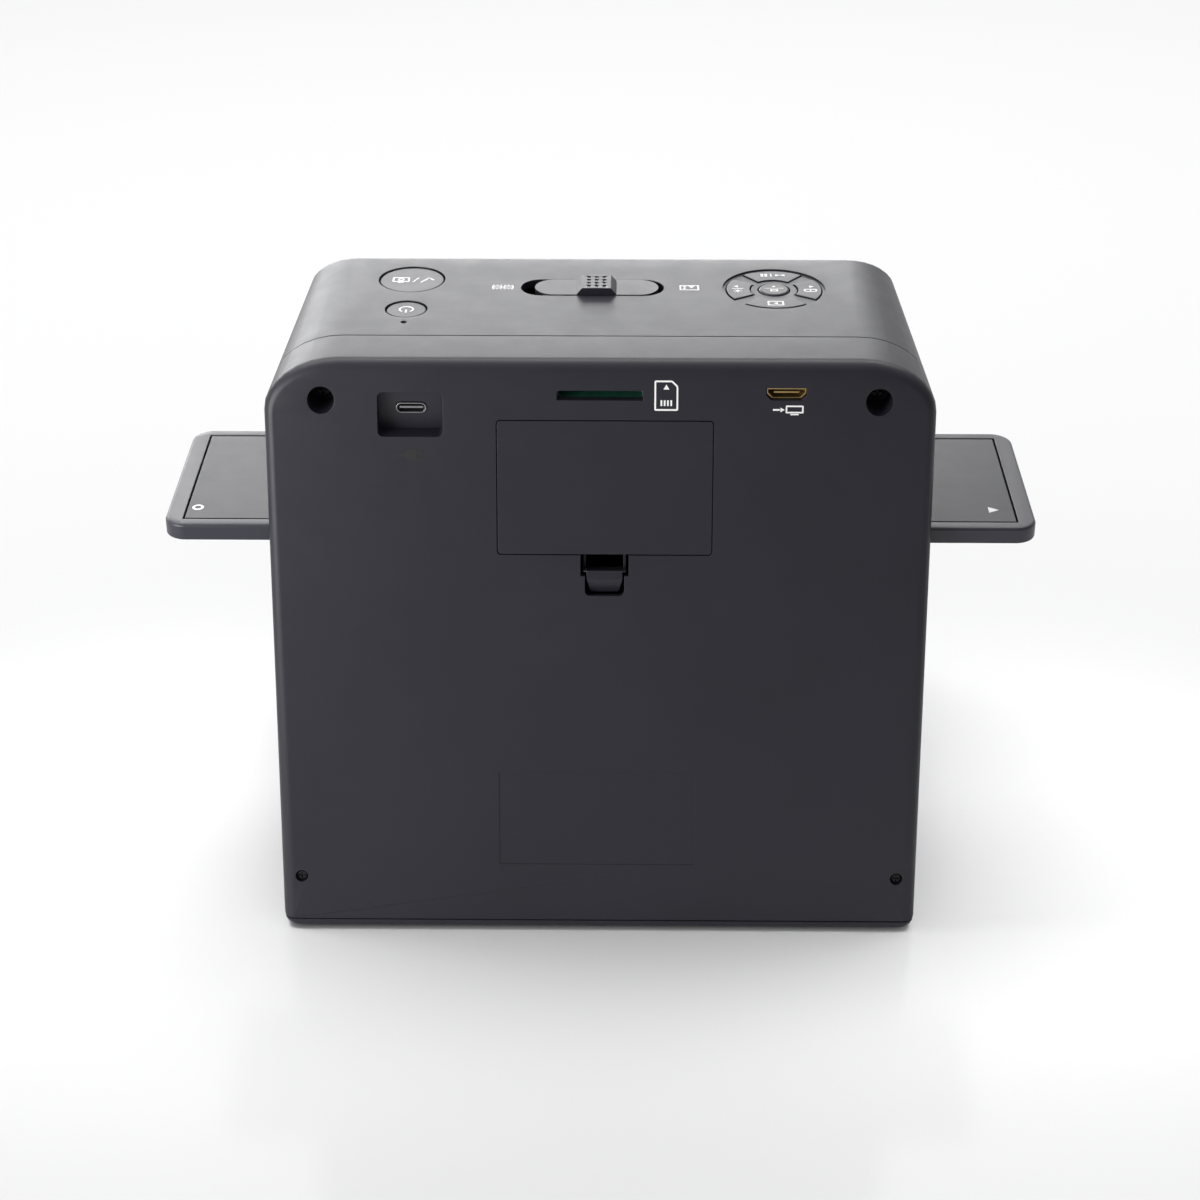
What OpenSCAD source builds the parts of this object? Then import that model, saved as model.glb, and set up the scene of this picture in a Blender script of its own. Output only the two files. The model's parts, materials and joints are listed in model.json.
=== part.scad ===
// Table-top photo and film scanner, seen from its rear: an A-shaped housing with a film tray that
// passes through both sides, a photo tray in its foot and all controls on its top.
// X runs to the right seen from the rear, Y from the rear to the front, Z up. Millimetres.

/* [Housing] */
// Height from the underside of the base plate to the top face
body_h = 171; // [167:0.5:177]
// Depth of the housing at its base
base_d = 167; // [162:0.5:172]
// Lean of the rear and the front face from the vertical, in degrees
face_lean = 14; // [13:0.25:15]
// Width of the rear face at its top
rear_w_top = 196; // [193:0.5:204]
// Width of the rear face at its foot
rear_w_foot = 194; // [192:0.5:202]
// Width of the front face at its top
front_w_top = 186; // [184:0.5:196]
// Width of the front face at its foot
front_w_foot = 184; // [183:0.5:196]
// Wall of the two housing shells
wall = 2.5; // [2:0.1:3]
// Rounding along the edges of the rear and front faces
edge_r = 3; // [2:0.1:3.5]
// Width of the curve at a top corner of the rear face
rear_corner_w = 22; // [16:0.5:26]
// Height of the curve at a top corner of the rear face
rear_corner_h = 15.5; // [12:0.5:18]
// Width of the curve at a top corner of the front face
front_corner_w = 16; // [12:0.5:20]
// Height of the curve at a top corner of the front face
front_corner_h = 11; // [8:0.5:14]
// Rounding of the lower corners
foot_corner_r = 3; // [2:0.5:5]
// Rounding of the base's lower edge
foot_edge_r = 0.8; // [0.5:0.1:1.5]
// Depth of the rear cover, from the rear face to the seam
cover_d = 18; // [17:0.25:19]
// Open seam between two housing pieces
seam_gap = 0.3; // [0.2:0.05:0.5]

/* [Base] */
// Thickness of the base plate
base_t = 2.2; // [1.8:0.1:3]
// Height that the rubber feet stand proud of the base plate
foot_h = 1; // [0.6:0.1:1.6]
// Diameter of a rubber foot
foot_d = 14; // [10:0.5:16]
// Distance of a foot from the side of the base, to its centre
foot_side = 16; // [14:0.5:20]
// Distance of a foot from the front or rear of the base, to its centre
foot_end = 14; // [12:0.5:20]

/* [Film tray] */
// Length of the film tray
tray_l = 261; // [250:1:270]
// Width of the film tray, along Y
tray_w = 65.25; // [62:0.25:66]
// Thickness of the film tray
tray_t = 5.2; // [5:0.1:6.5]
// Distance from the top face down to the tray's upper side
tray_drop = 51.6; // [50:0.2:54]
// Distance from the inside of the rear wall to the tray
tray_rear_gap = 6.1; // [5.9:0.1:7]
// Corner radius of the tray
tray_corner_r = 6.5; // [4:0.5:9]
// Rounding of the tray's top edge
tray_edge_r = 1; // [0.5:0.1:1.4]
// Border of the tray at its ends
tray_end_border = 5.5; // [4:0.25:8]
// Border of the tray along its sides
tray_side_border = 4; // [3:0.25:5]
// Thickness of the tray's lid
lid_t = 2.6; // [2:0.1:3]
// Open groove round the lid
lid_gap = 0.5; // [0.3:0.05:0.8]
// Number of film windows
window_n = 5; // [3:1:5]
// Spacing of the film windows
window_pitch = 38; // [37.5:0.25:39]
// Length of a film window
window_l = 36; // [34:0.5:36.5]
// Width of a film window
window_w = 24; // [22:0.5:25]

/* [Photo tray] */
// Width of the photo tray
photo_w = 158; // [156:0.5:159]
// Thickness of the photo tray's plate
photo_t = 4; // [3.5:0.1:5]
// Length of the print that the tray holds, along X
print_l = 152; // [150:0.5:152.5]
// Width of the print that the tray holds, along Y
print_w = 102; // [100:0.5:104]
// Height of the tray's front panel
photo_front_h = 14; // [12:0.5:18]

/* [Round buttons] */
// Distance of the capture and power buttons to the left of the middle
button_x = 59; // [57:0.25:60]
// Place of the capture button in front of the middle, as a share of the top's depth
ok_share = 0.259; // [0.25:0.001:0.27]
// Diameter of the capture button
ok_d = 20; // [17:0.25:20.5]
// Place of the power button in front of the middle, as a share of the top's depth
power_share = -0.0295; // [-0.04:0.0005:-0.02]
// Diameter of the power button
power_d = 12.2; // [10:0.1:13]
// Place of the status light in front of the middle, as a share of the top's depth
led_share = -0.153; // [-0.16:0.001:-0.145]
// Diameter of the status light
led_d = 1.6; // [1.4:0.1:2.2]
// Distance of the round buttons below the top face
button_sink = 0.25; // [0:0.05:0.4]
// Distance of the status light below the top face
led_sink = 0.7; // [0.1:0.1:1]
// Travel of every push button
key_travel = 0.8; // [0.5:0.1:1]

/* [Direction pad] */
// Distance of the pad's centre to the right of the middle
pad_x = 53.1; // [52:0.25:55]
// Place of the pad's centre in front of the middle, as a share of the top's depth
pad_share = 0.1795; // [0.17:0.0005:0.19]
// Diameter of the pad's dish
pad_d = 31.6; // [30:0.2:33]
// Depth of the dish
dish_depth = 0.5; // [0.4:0.1:1.2]
// Diameter of the centre key
centre_d = 9.4; // [9:0.1:10.4]
// Inner radius of the four outer keys
key_r_in = 7.5; // [7:0.1:7.8]
// Rim of the dish outside the keys
pad_rim = 1.2; // [1:0.1:1.5]
// Half of the angle that the upper and lower keys span, in degrees
key_half_long = 38; // [34:1:40]
// Half of the angle that the side keys span, in degrees
key_half_short = 32; // [28:1:34]

/* [Mode slider] */
// Distance of the slot's centre to the right of the middle
slot_x = -2.85; // [-4:0.05:-2]
// Place of the slot's centre in front of the middle, as a share of the top's depth
slot_share = 0.183; // [0.176:0.001:0.19]
// Length of the slot
slot_l = 44.1; // [43:0.1:46]
// Width of the slot
slot_w = 12.7; // [12:0.1:13.4]
// Travel of the slider from one end of the slot to the other
slide_travel = 6; // [5:0.1:7]
// Place of the slider at rest, to the right of the middle of its travel
slide_rest = 1.3; // [0.5:0.1:2]
// Length of the grip on the slider
grip_l = 12.4; // [11:0.1:13]
// Height of the grip above the top face
grip_h = 2.3; // [2:0.1:3]

/* [Rear ports] */
// Distance of the two upper screw wells from the middle
well_x = 81.1; // [79:0.1:82]
// Place of the screw wells along the rear face, below its top edge
well_drop = 11.3; // [11:0.1:13]
// Diameter of a screw well
well_d = 7.8; // [6.8:0.1:8.2]
// Distance of the two lower screws from the middle
low_screw_x = 91; // [90:0.1:91.2]
// Height of the two lower screws along the rear face
low_screw_s = 16.5; // [15.5:0.1:20]
// Distance of the power socket's pocket to the left of the middle
usb_x = 55.2; // [54:0.1:57]
// Width of the pocket
usb_pocket_w = 19; // [17:0.1:20]
// Height of the pocket
usb_pocket_h = 12.7; // [12:0.1:13]
// Place of the pocket's upper edge below the top face
usb_pocket_drop = 9; // [8.8:0.1:9.6]
// Depth of the pocket at its upper edge
usb_pocket_d = 3; // [2.6:0.1:3.3]
// Drop of the socket's centre below the pocket's upper edge
usb_drop = 6.1; // [5.6:0.1:6.4]
// Corner radius of the pocket
usb_pocket_r = 1.6; // [1:0.1:2]
// Width of the memory card slot
sd_w = 25; // [24.5:0.1:26]
// Height of the memory card slot
sd_h = 2.7; // [2.4:0.1:3]
// Drop of the card slot's centre below the top face
sd_drop = 9.7; // [9.5:0.05:10]
// Distance of the video socket to the right of the middle
video_x = 54.1; // [52:0.1:56]
// Width of the video socket
video_w = 11.4; // [11:0.1:12]
// Height of the video socket
video_h = 3.2; // [2.8:0.1:3.4]
// Drop of the video socket's centre below the top face
video_drop = 9.1; // [8.9:0.05:9.3]

// Width of the shallow field for a plate on the rear face
plate_field_w = 59; // [50:0.5:62]
// Height of the shallow field for a plate
plate_field_h = 29.7; // [24:0.1:32]
// Distance of the field's centre to the right of the middle
plate_field_x = -0.7; // [-3:0.1:3]
// Height of the field's centre along the rear face
plate_field_s = 35.7; // [32:0.1:45]

/* [Battery door] */
// Distance of the door's centre to the right of the middle
door_x = 1.5; // [0:0.1:2]
// Width of the door
door_w = 63; // [60:0.25:65]
// Height of the door along the rear face
door_h = 40; // [39:0.25:41]
// Distance from the top of the rear face down to the door's upper edge
door_drop = 17.5; // [16.8:0.1:18.5]
// Thickness of the door
door_t = 2; // [1.6:0.1:2.2]
// Gap round the door
door_gap = 0.25; // [0.2:0.05:0.4]
// Width of the door's latch tongue at its top
latch_w = 10.6; // [10:0.1:11.2]
// Width of the tongue at its foot
latch_foot_w = 9; // [8.4:0.1:9.6]
// Reach of the tongue below the door
latch_h = 12; // [11.6:0.1:12.5]
// Height of the hollow between the door and the tongue
hollow_h = 5.2; // [4.8:0.1:5.5]
// Width of the hollow
hollow_w = 14.2; // [13.6:0.1:15]
// Length of the battery pack
battery_l = 50; // [46:0.5:53]
// Height of the battery pack along the rear face
battery_h = 27; // [24:0.25:27.5]
// Thickness of the battery pack
battery_t = 6; // [5:0.1:6.5]

/* [Screen] */
// Width of the screen glass
glass_w = 124; // [118:0.5:130]
// Height of the screen glass
glass_h = 80; // [74:0.5:84]
// Distance from the top of the front face down to the glass's centre
glass_drop = 70; // [66:0.5:76]
// Thickness of the screen glass
glass_t = 1; // [0.8:0.1:1.2]
// Width of the picture area
picture_w = 110; // [104:0.5:112]
// Height of the picture area
picture_h = 64; // [60:0.5:66]

/* [Optics] */
// Distance from the tray's top to the front of the lens barrel
lens_gap = 11.6; // [11:0.1:13]
// Length of the lens barrel below its plate
barrel_l = 12; // [10:0.1:14]
// Diameter of the lens barrel
barrel_d = 12; // [10:0.1:13]
// Distance from the lever's pivot to the slider's pin
lever_short = 8; // [7.5:0.1:8.5]

/* [Hidden] */

$fn = 48;
// Running gap between pieces that slide on each other
run_gap = 0.3;
// Gap round a button in its hole
key_gap = 0.35;
// Shallow overlap that keeps a cut clear of a face
eps = 0.05;
// Longer than the housing in every direction
far = 400;
// How far a hollow form, and the form cut from it, reach down through the base
hollow_drop = 30;
inner_drop = 40;

// Places that follow from the driving sizes
z0 = foot_h;
top_z = z0 + body_h;
ceiling_z = top_z - wall;
shell_z = z0 + base_t + seam_gap;
wall_across = wall / cos(face_lean);
face_len = body_h / cos(face_lean);
top_d = base_d - 2 * body_h * tan(face_lean);
ok_y = top_d * ok_share;
power_y = top_d * power_share;
led_y = top_d * led_share;
pad_y = top_d * pad_share;
slot_y = top_d * slot_share;
tray_top = top_z - tray_drop;
tray_z = tray_top - tray_t;

// Y of the outside of the rear face at height z
function rear_y(z) = -base_d / 2 + (z - z0) * tan(face_lean);

tray_y = rear_y(tray_top) + wall_across + tray_rear_gap + tray_w / 2;

// Half of the housing's inner width at height z, at the place y
function side_x(y, z) =
    let (up = (z - z0) / body_h)
    let (along = (y + base_d / 2) / base_d)
    let (rear = rear_w_foot + (rear_w_top - rear_w_foot) * up)
    let (front = front_w_foot + (front_w_top - front_w_foot) * up)
    (rear + (front - rear) * along) / 2 - wall;

// Arc of an ellipse from angle a0 to a1, as points
function arc(cx, cy, rx, ry, a0, a1, n) =
    [for (k = [0:n]) let (a = a0 + (a1 - a0) * k / n) [cx + rx * cos(a), cy + ry * sin(a)]];

// Outline of the housing parallel to one face, at a depth behind it and drawn in by an inset.
// size holds the face's foot width, top width, corner width and corner height.
function face_outline(size, depth, inset, drop) =
    let (lift = depth * tan(face_lean))
    let (raised = drop > 0 ? 0 : inset * foot_edge_r / edge_r)
    let (s0 = lift - drop + raised / cos(face_lean))
    let (s1 = lift + (body_h - inset) / cos(face_lean))
    let (rx = max(size[2] - inset, 1))
    let (ry = max(size[3] - inset, 1))
    let (rf = foot_corner_r)
    let (half_foot = size[0] / 2 - inset)
    let (half_top = size[1] / 2 - inset)
    let (right = concat(arc(half_foot - rf, s0 + rf, rf, rf, -90, 0, 4),
                        arc(half_top - rx, s1 - ry, rx, ry, 0, 90, 8)))
    concat(right, [for (k = [len(right) - 1:-1:0]) [-right[k][0], right[k][1]]]);

// Outline of a tongue: straight sides down to bend, then drawn in to a foot with round corners
function tongue_outline(half_top, half_foot, top, bend, low, r) =
    let (right = concat([[half_top, top], [half_top, bend]], arc(half_foot - r, low + r, r, r, 0, -90, 4)))
    concat(right, [for (k = [len(right) - 1:-1:0]) [-right[k][0], right[k][1]]]);

// Frame on a face: x to the right as seen from outside, y up along the face, z outwards.
// side is 0 on the rear face and 1 on the front face.
module on_face(side, x, s) {
    rotate([0, 0, 180 * side])
        translate([x, -base_d / 2 + s * sin(face_lean), z0 + s * cos(face_lean)])
            rotate([90 - face_lean, 0, 0])
                children();
}

// The housing's rounded form, drawn in by t; drop carries it down through the base
module body_form(t, drop = 0) {
    r = max(edge_r - t, 0.4);
    sizes = [[rear_w_foot, rear_w_top, rear_corner_w, rear_corner_h],
             [front_w_foot, front_w_top, front_corner_w, front_corner_h]];
    hull()
        for (side = [0, 1], turn = [0, 30, 60, 90]) {
            depth = t + r * (1 - cos(turn));
            inset = t + r * (1 - sin(turn));
            on_face(side, 0, 0)
                translate([0, 0, -depth])
                    linear_extrude(0.01)
                        polygon(face_outline(sizes[side], depth, inset, drop));
        }
}

// Everything deeper than d behind the rear face
module behind_rear(d) {
    on_face(0, 0, 0)
        translate([-far / 2, -far / 2, -far - d])
            cube([far, far * 1.5, far]);
}

// Everything above height z
module above(z) {
    translate([-far / 2, -far / 2, z])
        cube([far, far, far]);
}

// Block given by its two corners
module block(lo, hi) {
    translate(lo)
        cube(hi - lo);
}

// Rectangle with rounded corners, centred
module round_rect(w, h, r) {
    square([w - 2 * r, h], center = true);
    square([w, h - 2 * r], center = true);
    for (sx = [-1, 1], sy = [-1, 1])
        translate([sx * (w / 2 - r), sy * (h / 2 - r)])
            circle(r);
}

// Outline with two round ends, centred, along x
module stadium(l, w) {
    square([l - w, w], center = true);
    for (sx = [-1, 1])
        translate([sx * (l - w) / 2, 0])
            circle(w / 2);
}

// Ring sector between two radii about the direction dir
module sector(r_in, r_out, dir, half) {
    reach = 2 * r_out;
    intersection() {
        difference() {
            circle(r_out);
            circle(r_in);
        }
        rotate(dir)
            polygon([[0, 0], [reach * cos(half), -reach * sin(half)],
                     [reach * cos(half), reach * sin(half)]]);
    }
}

// Cylinder along +Y from a point
module rod_y(at, d, l) {
    translate(at)
        rotate([-90, 0, 0])
            cylinder(d = d, h = l);
}

// Film tray and its ways
tray_half = tray_w / 2;
deck_t = 2.2;
rail_t = 2;
deck_top = tray_z - run_gap;
deck_low = deck_top - deck_t;
gate_low = tray_top + run_gap;
gate_top = gate_low + deck_t;
axis_y = tray_y;

// Photo tray and the frames beside it
photo_half = photo_w / 2;
photo_gap = 0.5;
photo_z = z0 + base_t + run_gap;
frame_in = photo_half + 2;
frame_t = 3;
frame_out = frame_in + frame_t;

// Slider, lever and lens
slide_x = slot_x + slide_rest;
slide_plate_l = slot_l - slide_travel;
slide_plate_w = slot_w - 2 * run_gap;
slide_plate_t = 1.8;
slide_rise = 0.15;
lens_z = tray_top + lens_gap;
plate_z = lens_z + barrel_l;
plate_t = 2.2;
lever_t = 2;
lever_z = lens_z - lever_t - 2.6;
close_lens_r = 4;
lever_ring_r = close_lens_r + 2;
half_swing = atan(slide_travel / 2 / lever_short);
pivot_y = slot_y - lever_short;
lever_long = (pivot_y - axis_y) / cos(half_swing);
pivot_x = -lever_long * sin(half_swing);
rest_swing = -atan(slide_rest / lever_short);
pin_x = pivot_x + slide_rest;
pin_d = 2.6;
pin_slot_w = 3;
pivot_d = 3;
pivot_bore = 3.12;
tower_reach = 17;
pin_room = 5;
camera_board_l = 36;
camera_board_w = 26;
camera_hole_d = 9;
sensor_l = 14;
sensor_w = 12;
sensor_t = 1.4;

// Boards under the top
board_t = 1.6;
key_board_drop = 6.6;
key_board_top = ceiling_z - key_board_drop;
switch_h = 1.6;
stem_gap = key_travel + 0.3;
stem_low = key_board_top + switch_h + stem_gap;
flange_top = ceiling_z - run_gap;
flange_t = 1.6;
main_board_top = top_z - sd_drop - sd_h / 2 - 0.15;
main_board_z = main_board_top - board_t;
main_board_rear = rear_y(main_board_top) + wall_across + run_gap;
main_board_half = 68;
key_board_rear = led_y - 3;
key_board_front = ok_y + 10.8;
key_board_left = -73;
key_board_right = 72;
board_screw_d = 2.2;
board_post_d = 6;
main_post_d = 5;
main_post_x = 32;
post_room = 0.4;
lip_room = 0.7;
seam_y = rear_y(ceiling_z) + (cover_d + seam_gap) / cos(face_lean);
main_post_y = seam_y + main_post_d / 2 + post_room;
main_board_front = main_post_y + 2;
main_post = [for (sx = [-1, 1]) [sx * main_post_x, main_post_y]];
key_post_x = [-40, 29];
key_post = [for (x = key_post_x, y = [key_board_rear + 6, key_board_front - 5.5]) [x, y]];
board_head_d = 4;
board_head_t = 1.2;
board_bite = 4;
can_l = 18;
can_x = 24;
can_rear = 16;
can_front = 6.5;
can_h = 2;
pad_key_r = pad_d / 2 - pad_rim;

// Fasteners
pilot_gap = 0.1;
case_screw_d = 2.6;
case_head_d = 5.6;
case_head_t = 2;
boss_d = 7;
well_wall = 1.5;
well_floor = 2;
well_len = 10;
well_z = top_z - well_drop;
well_mouth_y = rear_y(well_z);
well_floor_y = well_mouth_y + well_len;
low_screw_head_d = 3.4;
low_screw_head_t = 1.2;
low_screw_floor = 2.2;
low_shank_d = 2;
base_screw_d = 2.6;
base_head_d = 5;
base_head_t = 1.2;
rear_post_y = -40;
front_post_y = 48;
post_side = 5;
rear_post = [side_x(rear_post_y, z0) - post_side, rear_post_y];
front_post = [side_x(front_post_y, z0) - post_side + 0.6, front_post_y];
base_posts = [for (sx = [-1, 1], p = [rear_post, front_post]) [sx * p[0], p[1]]];
base_post_d = 7;
base_post_h = 14;
rim_t = 1.4;
rim_h = 3;
foot_sink = 0.8;
feet = [for (sx = [-1, 1], sy = [-1, 1])
        [sx * ((sy < 0 ? rear_w_foot : front_w_foot) / 2 - foot_side), sy * (base_d / 2 - foot_end)]];
lug_y = [axis_y - 12, axis_y + 26];
lug_l = 10;
lug_w = 5.2;
lug_t = 3;
seat_gap = 0.05;
lug_x = frame_out + lug_w / 2 - eps;
lug_head_t = 0.9;

// Door, latch and battery box, in the frame of the rear face
door_s = face_len - door_drop;
door_mid = door_s - door_h / 2;
door_foot = door_s - door_h;
latch_arm = 1.2;
latch_deep = 6.2;
latch_leg = 0.9;
latch_bar = 0.7;
latch_room = 0.5;
latch_foot_room = 0.7;
tongue_t = 3.2;
tongue_foot_t = 0.8;
tongue_ridge = 2.6;
ridge_sink = 0.3;
tongue_r = 1;
tongue_slot_r = 1.4;
rim_bar_h = 0.5;
rim_bar_sink = 0.9;
rim_bar_room = 0.7;
hook_w = 8;
hook_reach = 1.4;
hook_t = 0.9;
hook_gap = 0.5;
ledge = 1.6;
box_gap = 0.4;
box_wall = 1.4;
battery_top_s = door_s - 2.6;
battery_mid_s = battery_top_s - battery_h / 2;
battery_face = door_t + box_gap;
box_floor = battery_face + battery_t + box_gap;
contact_t = 0.4;

// Screen, in the frame of the front face
glass_s = face_len - glass_drop;
glass_gap = 0.2;
glass_r = 4;
lcd_border = 5;
lcd_t = 3.6;

// Sockets
usb_shell_w = 8.94;
usb_shell_h = 3.26;
usb_shell_l = 7.4;
usb_pocket_top = top_z - usb_pocket_drop;
usb_z = usb_pocket_top - usb_drop;
usb_pocket_low = usb_pocket_top - usb_pocket_h;
usb_wall_y = rear_y(usb_pocket_top) + usb_pocket_d;
usb_pocket_wall = 1.5;
sd_z = top_z - sd_drop;
video_z = top_z - video_drop;
socket_gap = 0.15;

// The two housing shells share this thin-walled form
module shell_form() {
    difference() {
        intersection() {
            body_form(0);
            above(shell_z);
        }
        body_form(wall, hollow_drop);
    }
}

// Way for the film tray through both side walls
module tray_way() {
    block([-far / 2, tray_y - tray_half - 2 * run_gap, tray_z - 2 * run_gap],
          [far / 2, tray_y + tray_half + 2 * run_gap, tray_top + 2 * run_gap]);
}

// Upright screw post with a pilot bore, hanging from the top wall
module hanging_post(at, low, d, bore) {
    difference() {
        translate([at[0], at[1], low])
            cylinder(d = d, h = ceiling_z - low + 0.5);
        translate([at[0], at[1], low - eps])
            cylinder(d = bore, h = 5);
    }
}

// Front shell: top, sides and front of the housing
module front_shell() {
    color([0.19, 0.19, 0.2]) {
        difference() {
            intersection() {
                shell_form();
                behind_rear(cover_d + seam_gap / 2);
            }
            tray_way();
            top_cuts();
            screen_cut();
            block([-photo_half - photo_gap, 0, 0],
                  [photo_half + photo_gap, base_d, photo_z + photo_front_h + photo_gap]);
        }
        for (p = main_post)
            hanging_post(p, main_board_top, main_post_d, board_screw_d - 0.4 + pilot_gap);
        for (p = key_post)
            hanging_post(p, key_board_top, board_post_d, board_screw_d - 0.4 + pilot_gap);
        for (sx = [-1, 1]) {
            well_boss(sx);
            low_boss(sx);
        }
        for (p = base_posts)
            base_post(p);
    }
}

// Holes and recesses in the top face
module top_cuts() {
    translate([-button_x, ok_y, ceiling_z - 1])
        cylinder(d = ok_d + 2 * key_gap, h = far);
    translate([-button_x, power_y, ceiling_z - 1])
        cylinder(d = power_d + 2 * key_gap, h = far);
    translate([-button_x, led_y, ceiling_z - 1])
        cylinder(d = led_d + 0.2, h = far);
    translate([slot_x, slot_y, ceiling_z - 1])
        linear_extrude(far)
            stadium(slot_l, slot_w);
    translate([pad_x, pad_y, top_z - dish_depth])
        cylinder(d = pad_d, h = far);
    translate([pad_x, pad_y, ceiling_z - 1])
        linear_extrude(wall + 1) {
            circle(d = centre_d + 2 * key_gap);
            for (dir = [0, 90, 180, 270])
                sector(key_r_in - key_gap, pad_key_r + key_gap, dir, key_half(dir) + 1.2);
        }
}

// Half of the angle that the outer key in direction dir spans
function key_half(dir) = dir % 180 == 90 ? key_half_long : key_half_short;

// Recess for the glass and the opening behind it
module screen_cut() {
    on_face(1, 0, glass_s) {
        translate([0, 0, -glass_t])
            linear_extrude(10)
                round_rect(glass_w + 2 * glass_gap, glass_h + 2 * glass_gap, glass_r);
        translate([0, 0, -wall - 1])
            linear_extrude(wall + 2)
                square([picture_w, picture_h], center = true);
    }
}

// Boss behind an upper screw well, ribbed to the top wall
module well_boss(sx) {
    start = well_floor_y + well_floor + seam_gap;
    l = 16;
    difference() {
        union() {
            rod_y([sx * well_x, start, well_z], boss_d, l);
            block([sx * well_x - 1, max(start, rear_y(top_z) + cover_d / cos(face_lean) + 3), well_z],
                  [sx * well_x + 1, start + l, ceiling_z + 0.5]);
        }
        rod_y([sx * well_x, start - eps, well_z], case_screw_d - 0.4 + pilot_gap, 10);
    }
}

// Boss for a lower screw, ribbed to the side wall
module low_boss(sx) {
    near = cover_d + 3;
    l = 8;
    z = z0 + low_screw_s * cos(face_lean) - near * sin(face_lean);
    reach = side_x(rear_y(z) + near, z) + 1 - low_screw_x;
    on_face(0, sx * low_screw_x, low_screw_s)
        translate([0, 0, -near - l])
            difference() {
                union() {
                    cylinder(d = 5, h = l);
                    translate([min(0, sx * reach), -0.9, 0])
                        cube([reach, 1.8, l]);
                }
                translate([0, 0, 1])
                    cylinder(d = low_shank_d + pilot_gap, h = l);
            }
}

// Post that a base screw bites into, ribbed to the side wall
module base_post(p) {
    x_wall = sign(p[0]) * (side_x(p[1], shell_z) + 1);
    difference() {
        union() {
            translate([p[0], p[1], shell_z])
                cylinder(d = base_post_d, h = base_post_h);
            block([min(p[0], x_wall), p[1] - 1, shell_z],
                  [max(p[0], x_wall), p[1] + 1, shell_z + base_post_h]);
        }
        translate([p[0], p[1], shell_z - eps])
            cylinder(d = base_screw_d - 0.4 + pilot_gap, h = base_post_h - 1);
    }
}

// Rear cover: rear face with the ports, the screw wells and the battery box
module rear_cover() {
    color([0.17, 0.17, 0.19]) {
        difference() {
            union() {
                difference() {
                    shell_form();
                    behind_rear(cover_d - seam_gap / 2);
                }
                cover_lip();
                for (sx = [-1, 1]) {
                    rod_y([sx * well_x, well_mouth_y + 1.5, well_z], well_d + 2 * well_wall,
                          well_len + well_floor - 1.5);
                    on_face(0, sx * low_screw_x, low_screw_s)
                        translate([0, 0, -cover_d + 1])
                            cylinder(d = 5, h = cover_d - 2);
                }
                usb_pocket_shell();
                battery_box();
            }
            tray_way();
            rear_cuts();
        }
    }
}

// Tongue of the rear cover that locates inside the front shell
module cover_lip() {
    lip_t = 1.1;
    lip_gap = 0.15;
    lip_l = 2.5;
    intersection() {
        difference() {
            body_form(wall + lip_gap, hollow_drop);
            body_form(wall + lip_gap + lip_t, inner_drop);
        }
        difference() {
            behind_rear(cover_d - 3);
            behind_rear(cover_d + lip_l);
        }
        above(shell_z + base_post_h / 2);
    }
    intersection() {
        difference() {
            body_form(wall - eps, hollow_drop);
            body_form(wall + lip_gap + lip_t, inner_drop);
        }
        difference() {
            behind_rear(cover_d - 4);
            behind_rear(cover_d - 1);
        }
        above(shell_z + base_post_h / 2);
    }
}

// Wall behind the pocket of the power socket
module usb_pocket_shell() {
    w = usb_pocket_w + 2 * usb_pocket_wall;
    difference() {
        block([-usb_x - w / 2, rear_y(usb_pocket_low) + 1, usb_pocket_low - usb_pocket_wall],
              [-usb_x + w / 2, usb_wall_y + usb_pocket_wall, usb_pocket_top + usb_pocket_wall]);
        on_face(0, 0, 0)
            translate([-far / 2, -far / 2, -1])
                cube(far);
    }
}

// Open box behind the door that holds the battery pack
module battery_box() {
    w = battery_l + 2 * (box_gap + box_wall);
    h = battery_h + 2 * (box_gap + box_wall);
    on_face(0, door_x, battery_mid_s)
        translate([-w / 2, -h / 2, -box_floor - box_wall])
            cube([w, h, box_floor + box_wall - wall / 2]);
}

// Everything that opens the rear cover
module rear_cuts() {
    for (sx = [-1, 1]) {
        rod_y([sx * well_x, well_mouth_y - 5, well_z], well_d, well_len + 5);
        rod_y([sx * well_x, well_mouth_y, well_z], case_screw_d + 0.4, far / 4);
        on_face(0, sx * low_screw_x, low_screw_s) {
            translate([0, 0, -low_screw_floor])
                cylinder(d = low_screw_head_d + 0.4, h = 5);
            translate([0, 0, -cover_d - 5])
                cylinder(d = low_shank_d + 0.4, h = cover_d + 6);
        }
    }
    translate([-usb_x, -far / 4, (usb_pocket_low + usb_pocket_top) / 2])
        rotate([-90, 0, 0])
            linear_extrude(far / 4 + usb_wall_y)
                round_rect(usb_pocket_w, usb_pocket_h, usb_pocket_r);
    translate([-usb_x, usb_wall_y - 1, usb_z])
        rotate([-90, 0, 0])
            linear_extrude(usb_pocket_wall + 2)
                stadium(usb_shell_w + 2 * socket_gap, usb_shell_h + 2 * socket_gap);
    block([-sd_w / 2, -far / 4, sd_z - sd_h / 2],
          [sd_w / 2, rear_y(sd_z) + wall_across + 2, sd_z + sd_h / 2]);
    translate([video_x, -far / 4, video_z])
        rotate([-90, 0, 0])
            linear_extrude(far / 4 + rear_y(video_z) + wall_across + 2)
                video_outline(socket_gap);
    for (p = main_post)
        translate([p[0], p[1], main_board_top])
            linear_extrude(ceiling_z - seat_gap - main_board_top)
                square(main_post_d + 2 * lip_room, center = true);
    on_face(0, plate_field_x, plate_field_s)
        translate([-plate_field_w / 2, -plate_field_h / 2, -0.2])
            cube([plate_field_w, plate_field_h, 5]);
    door_cut();
}

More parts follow.
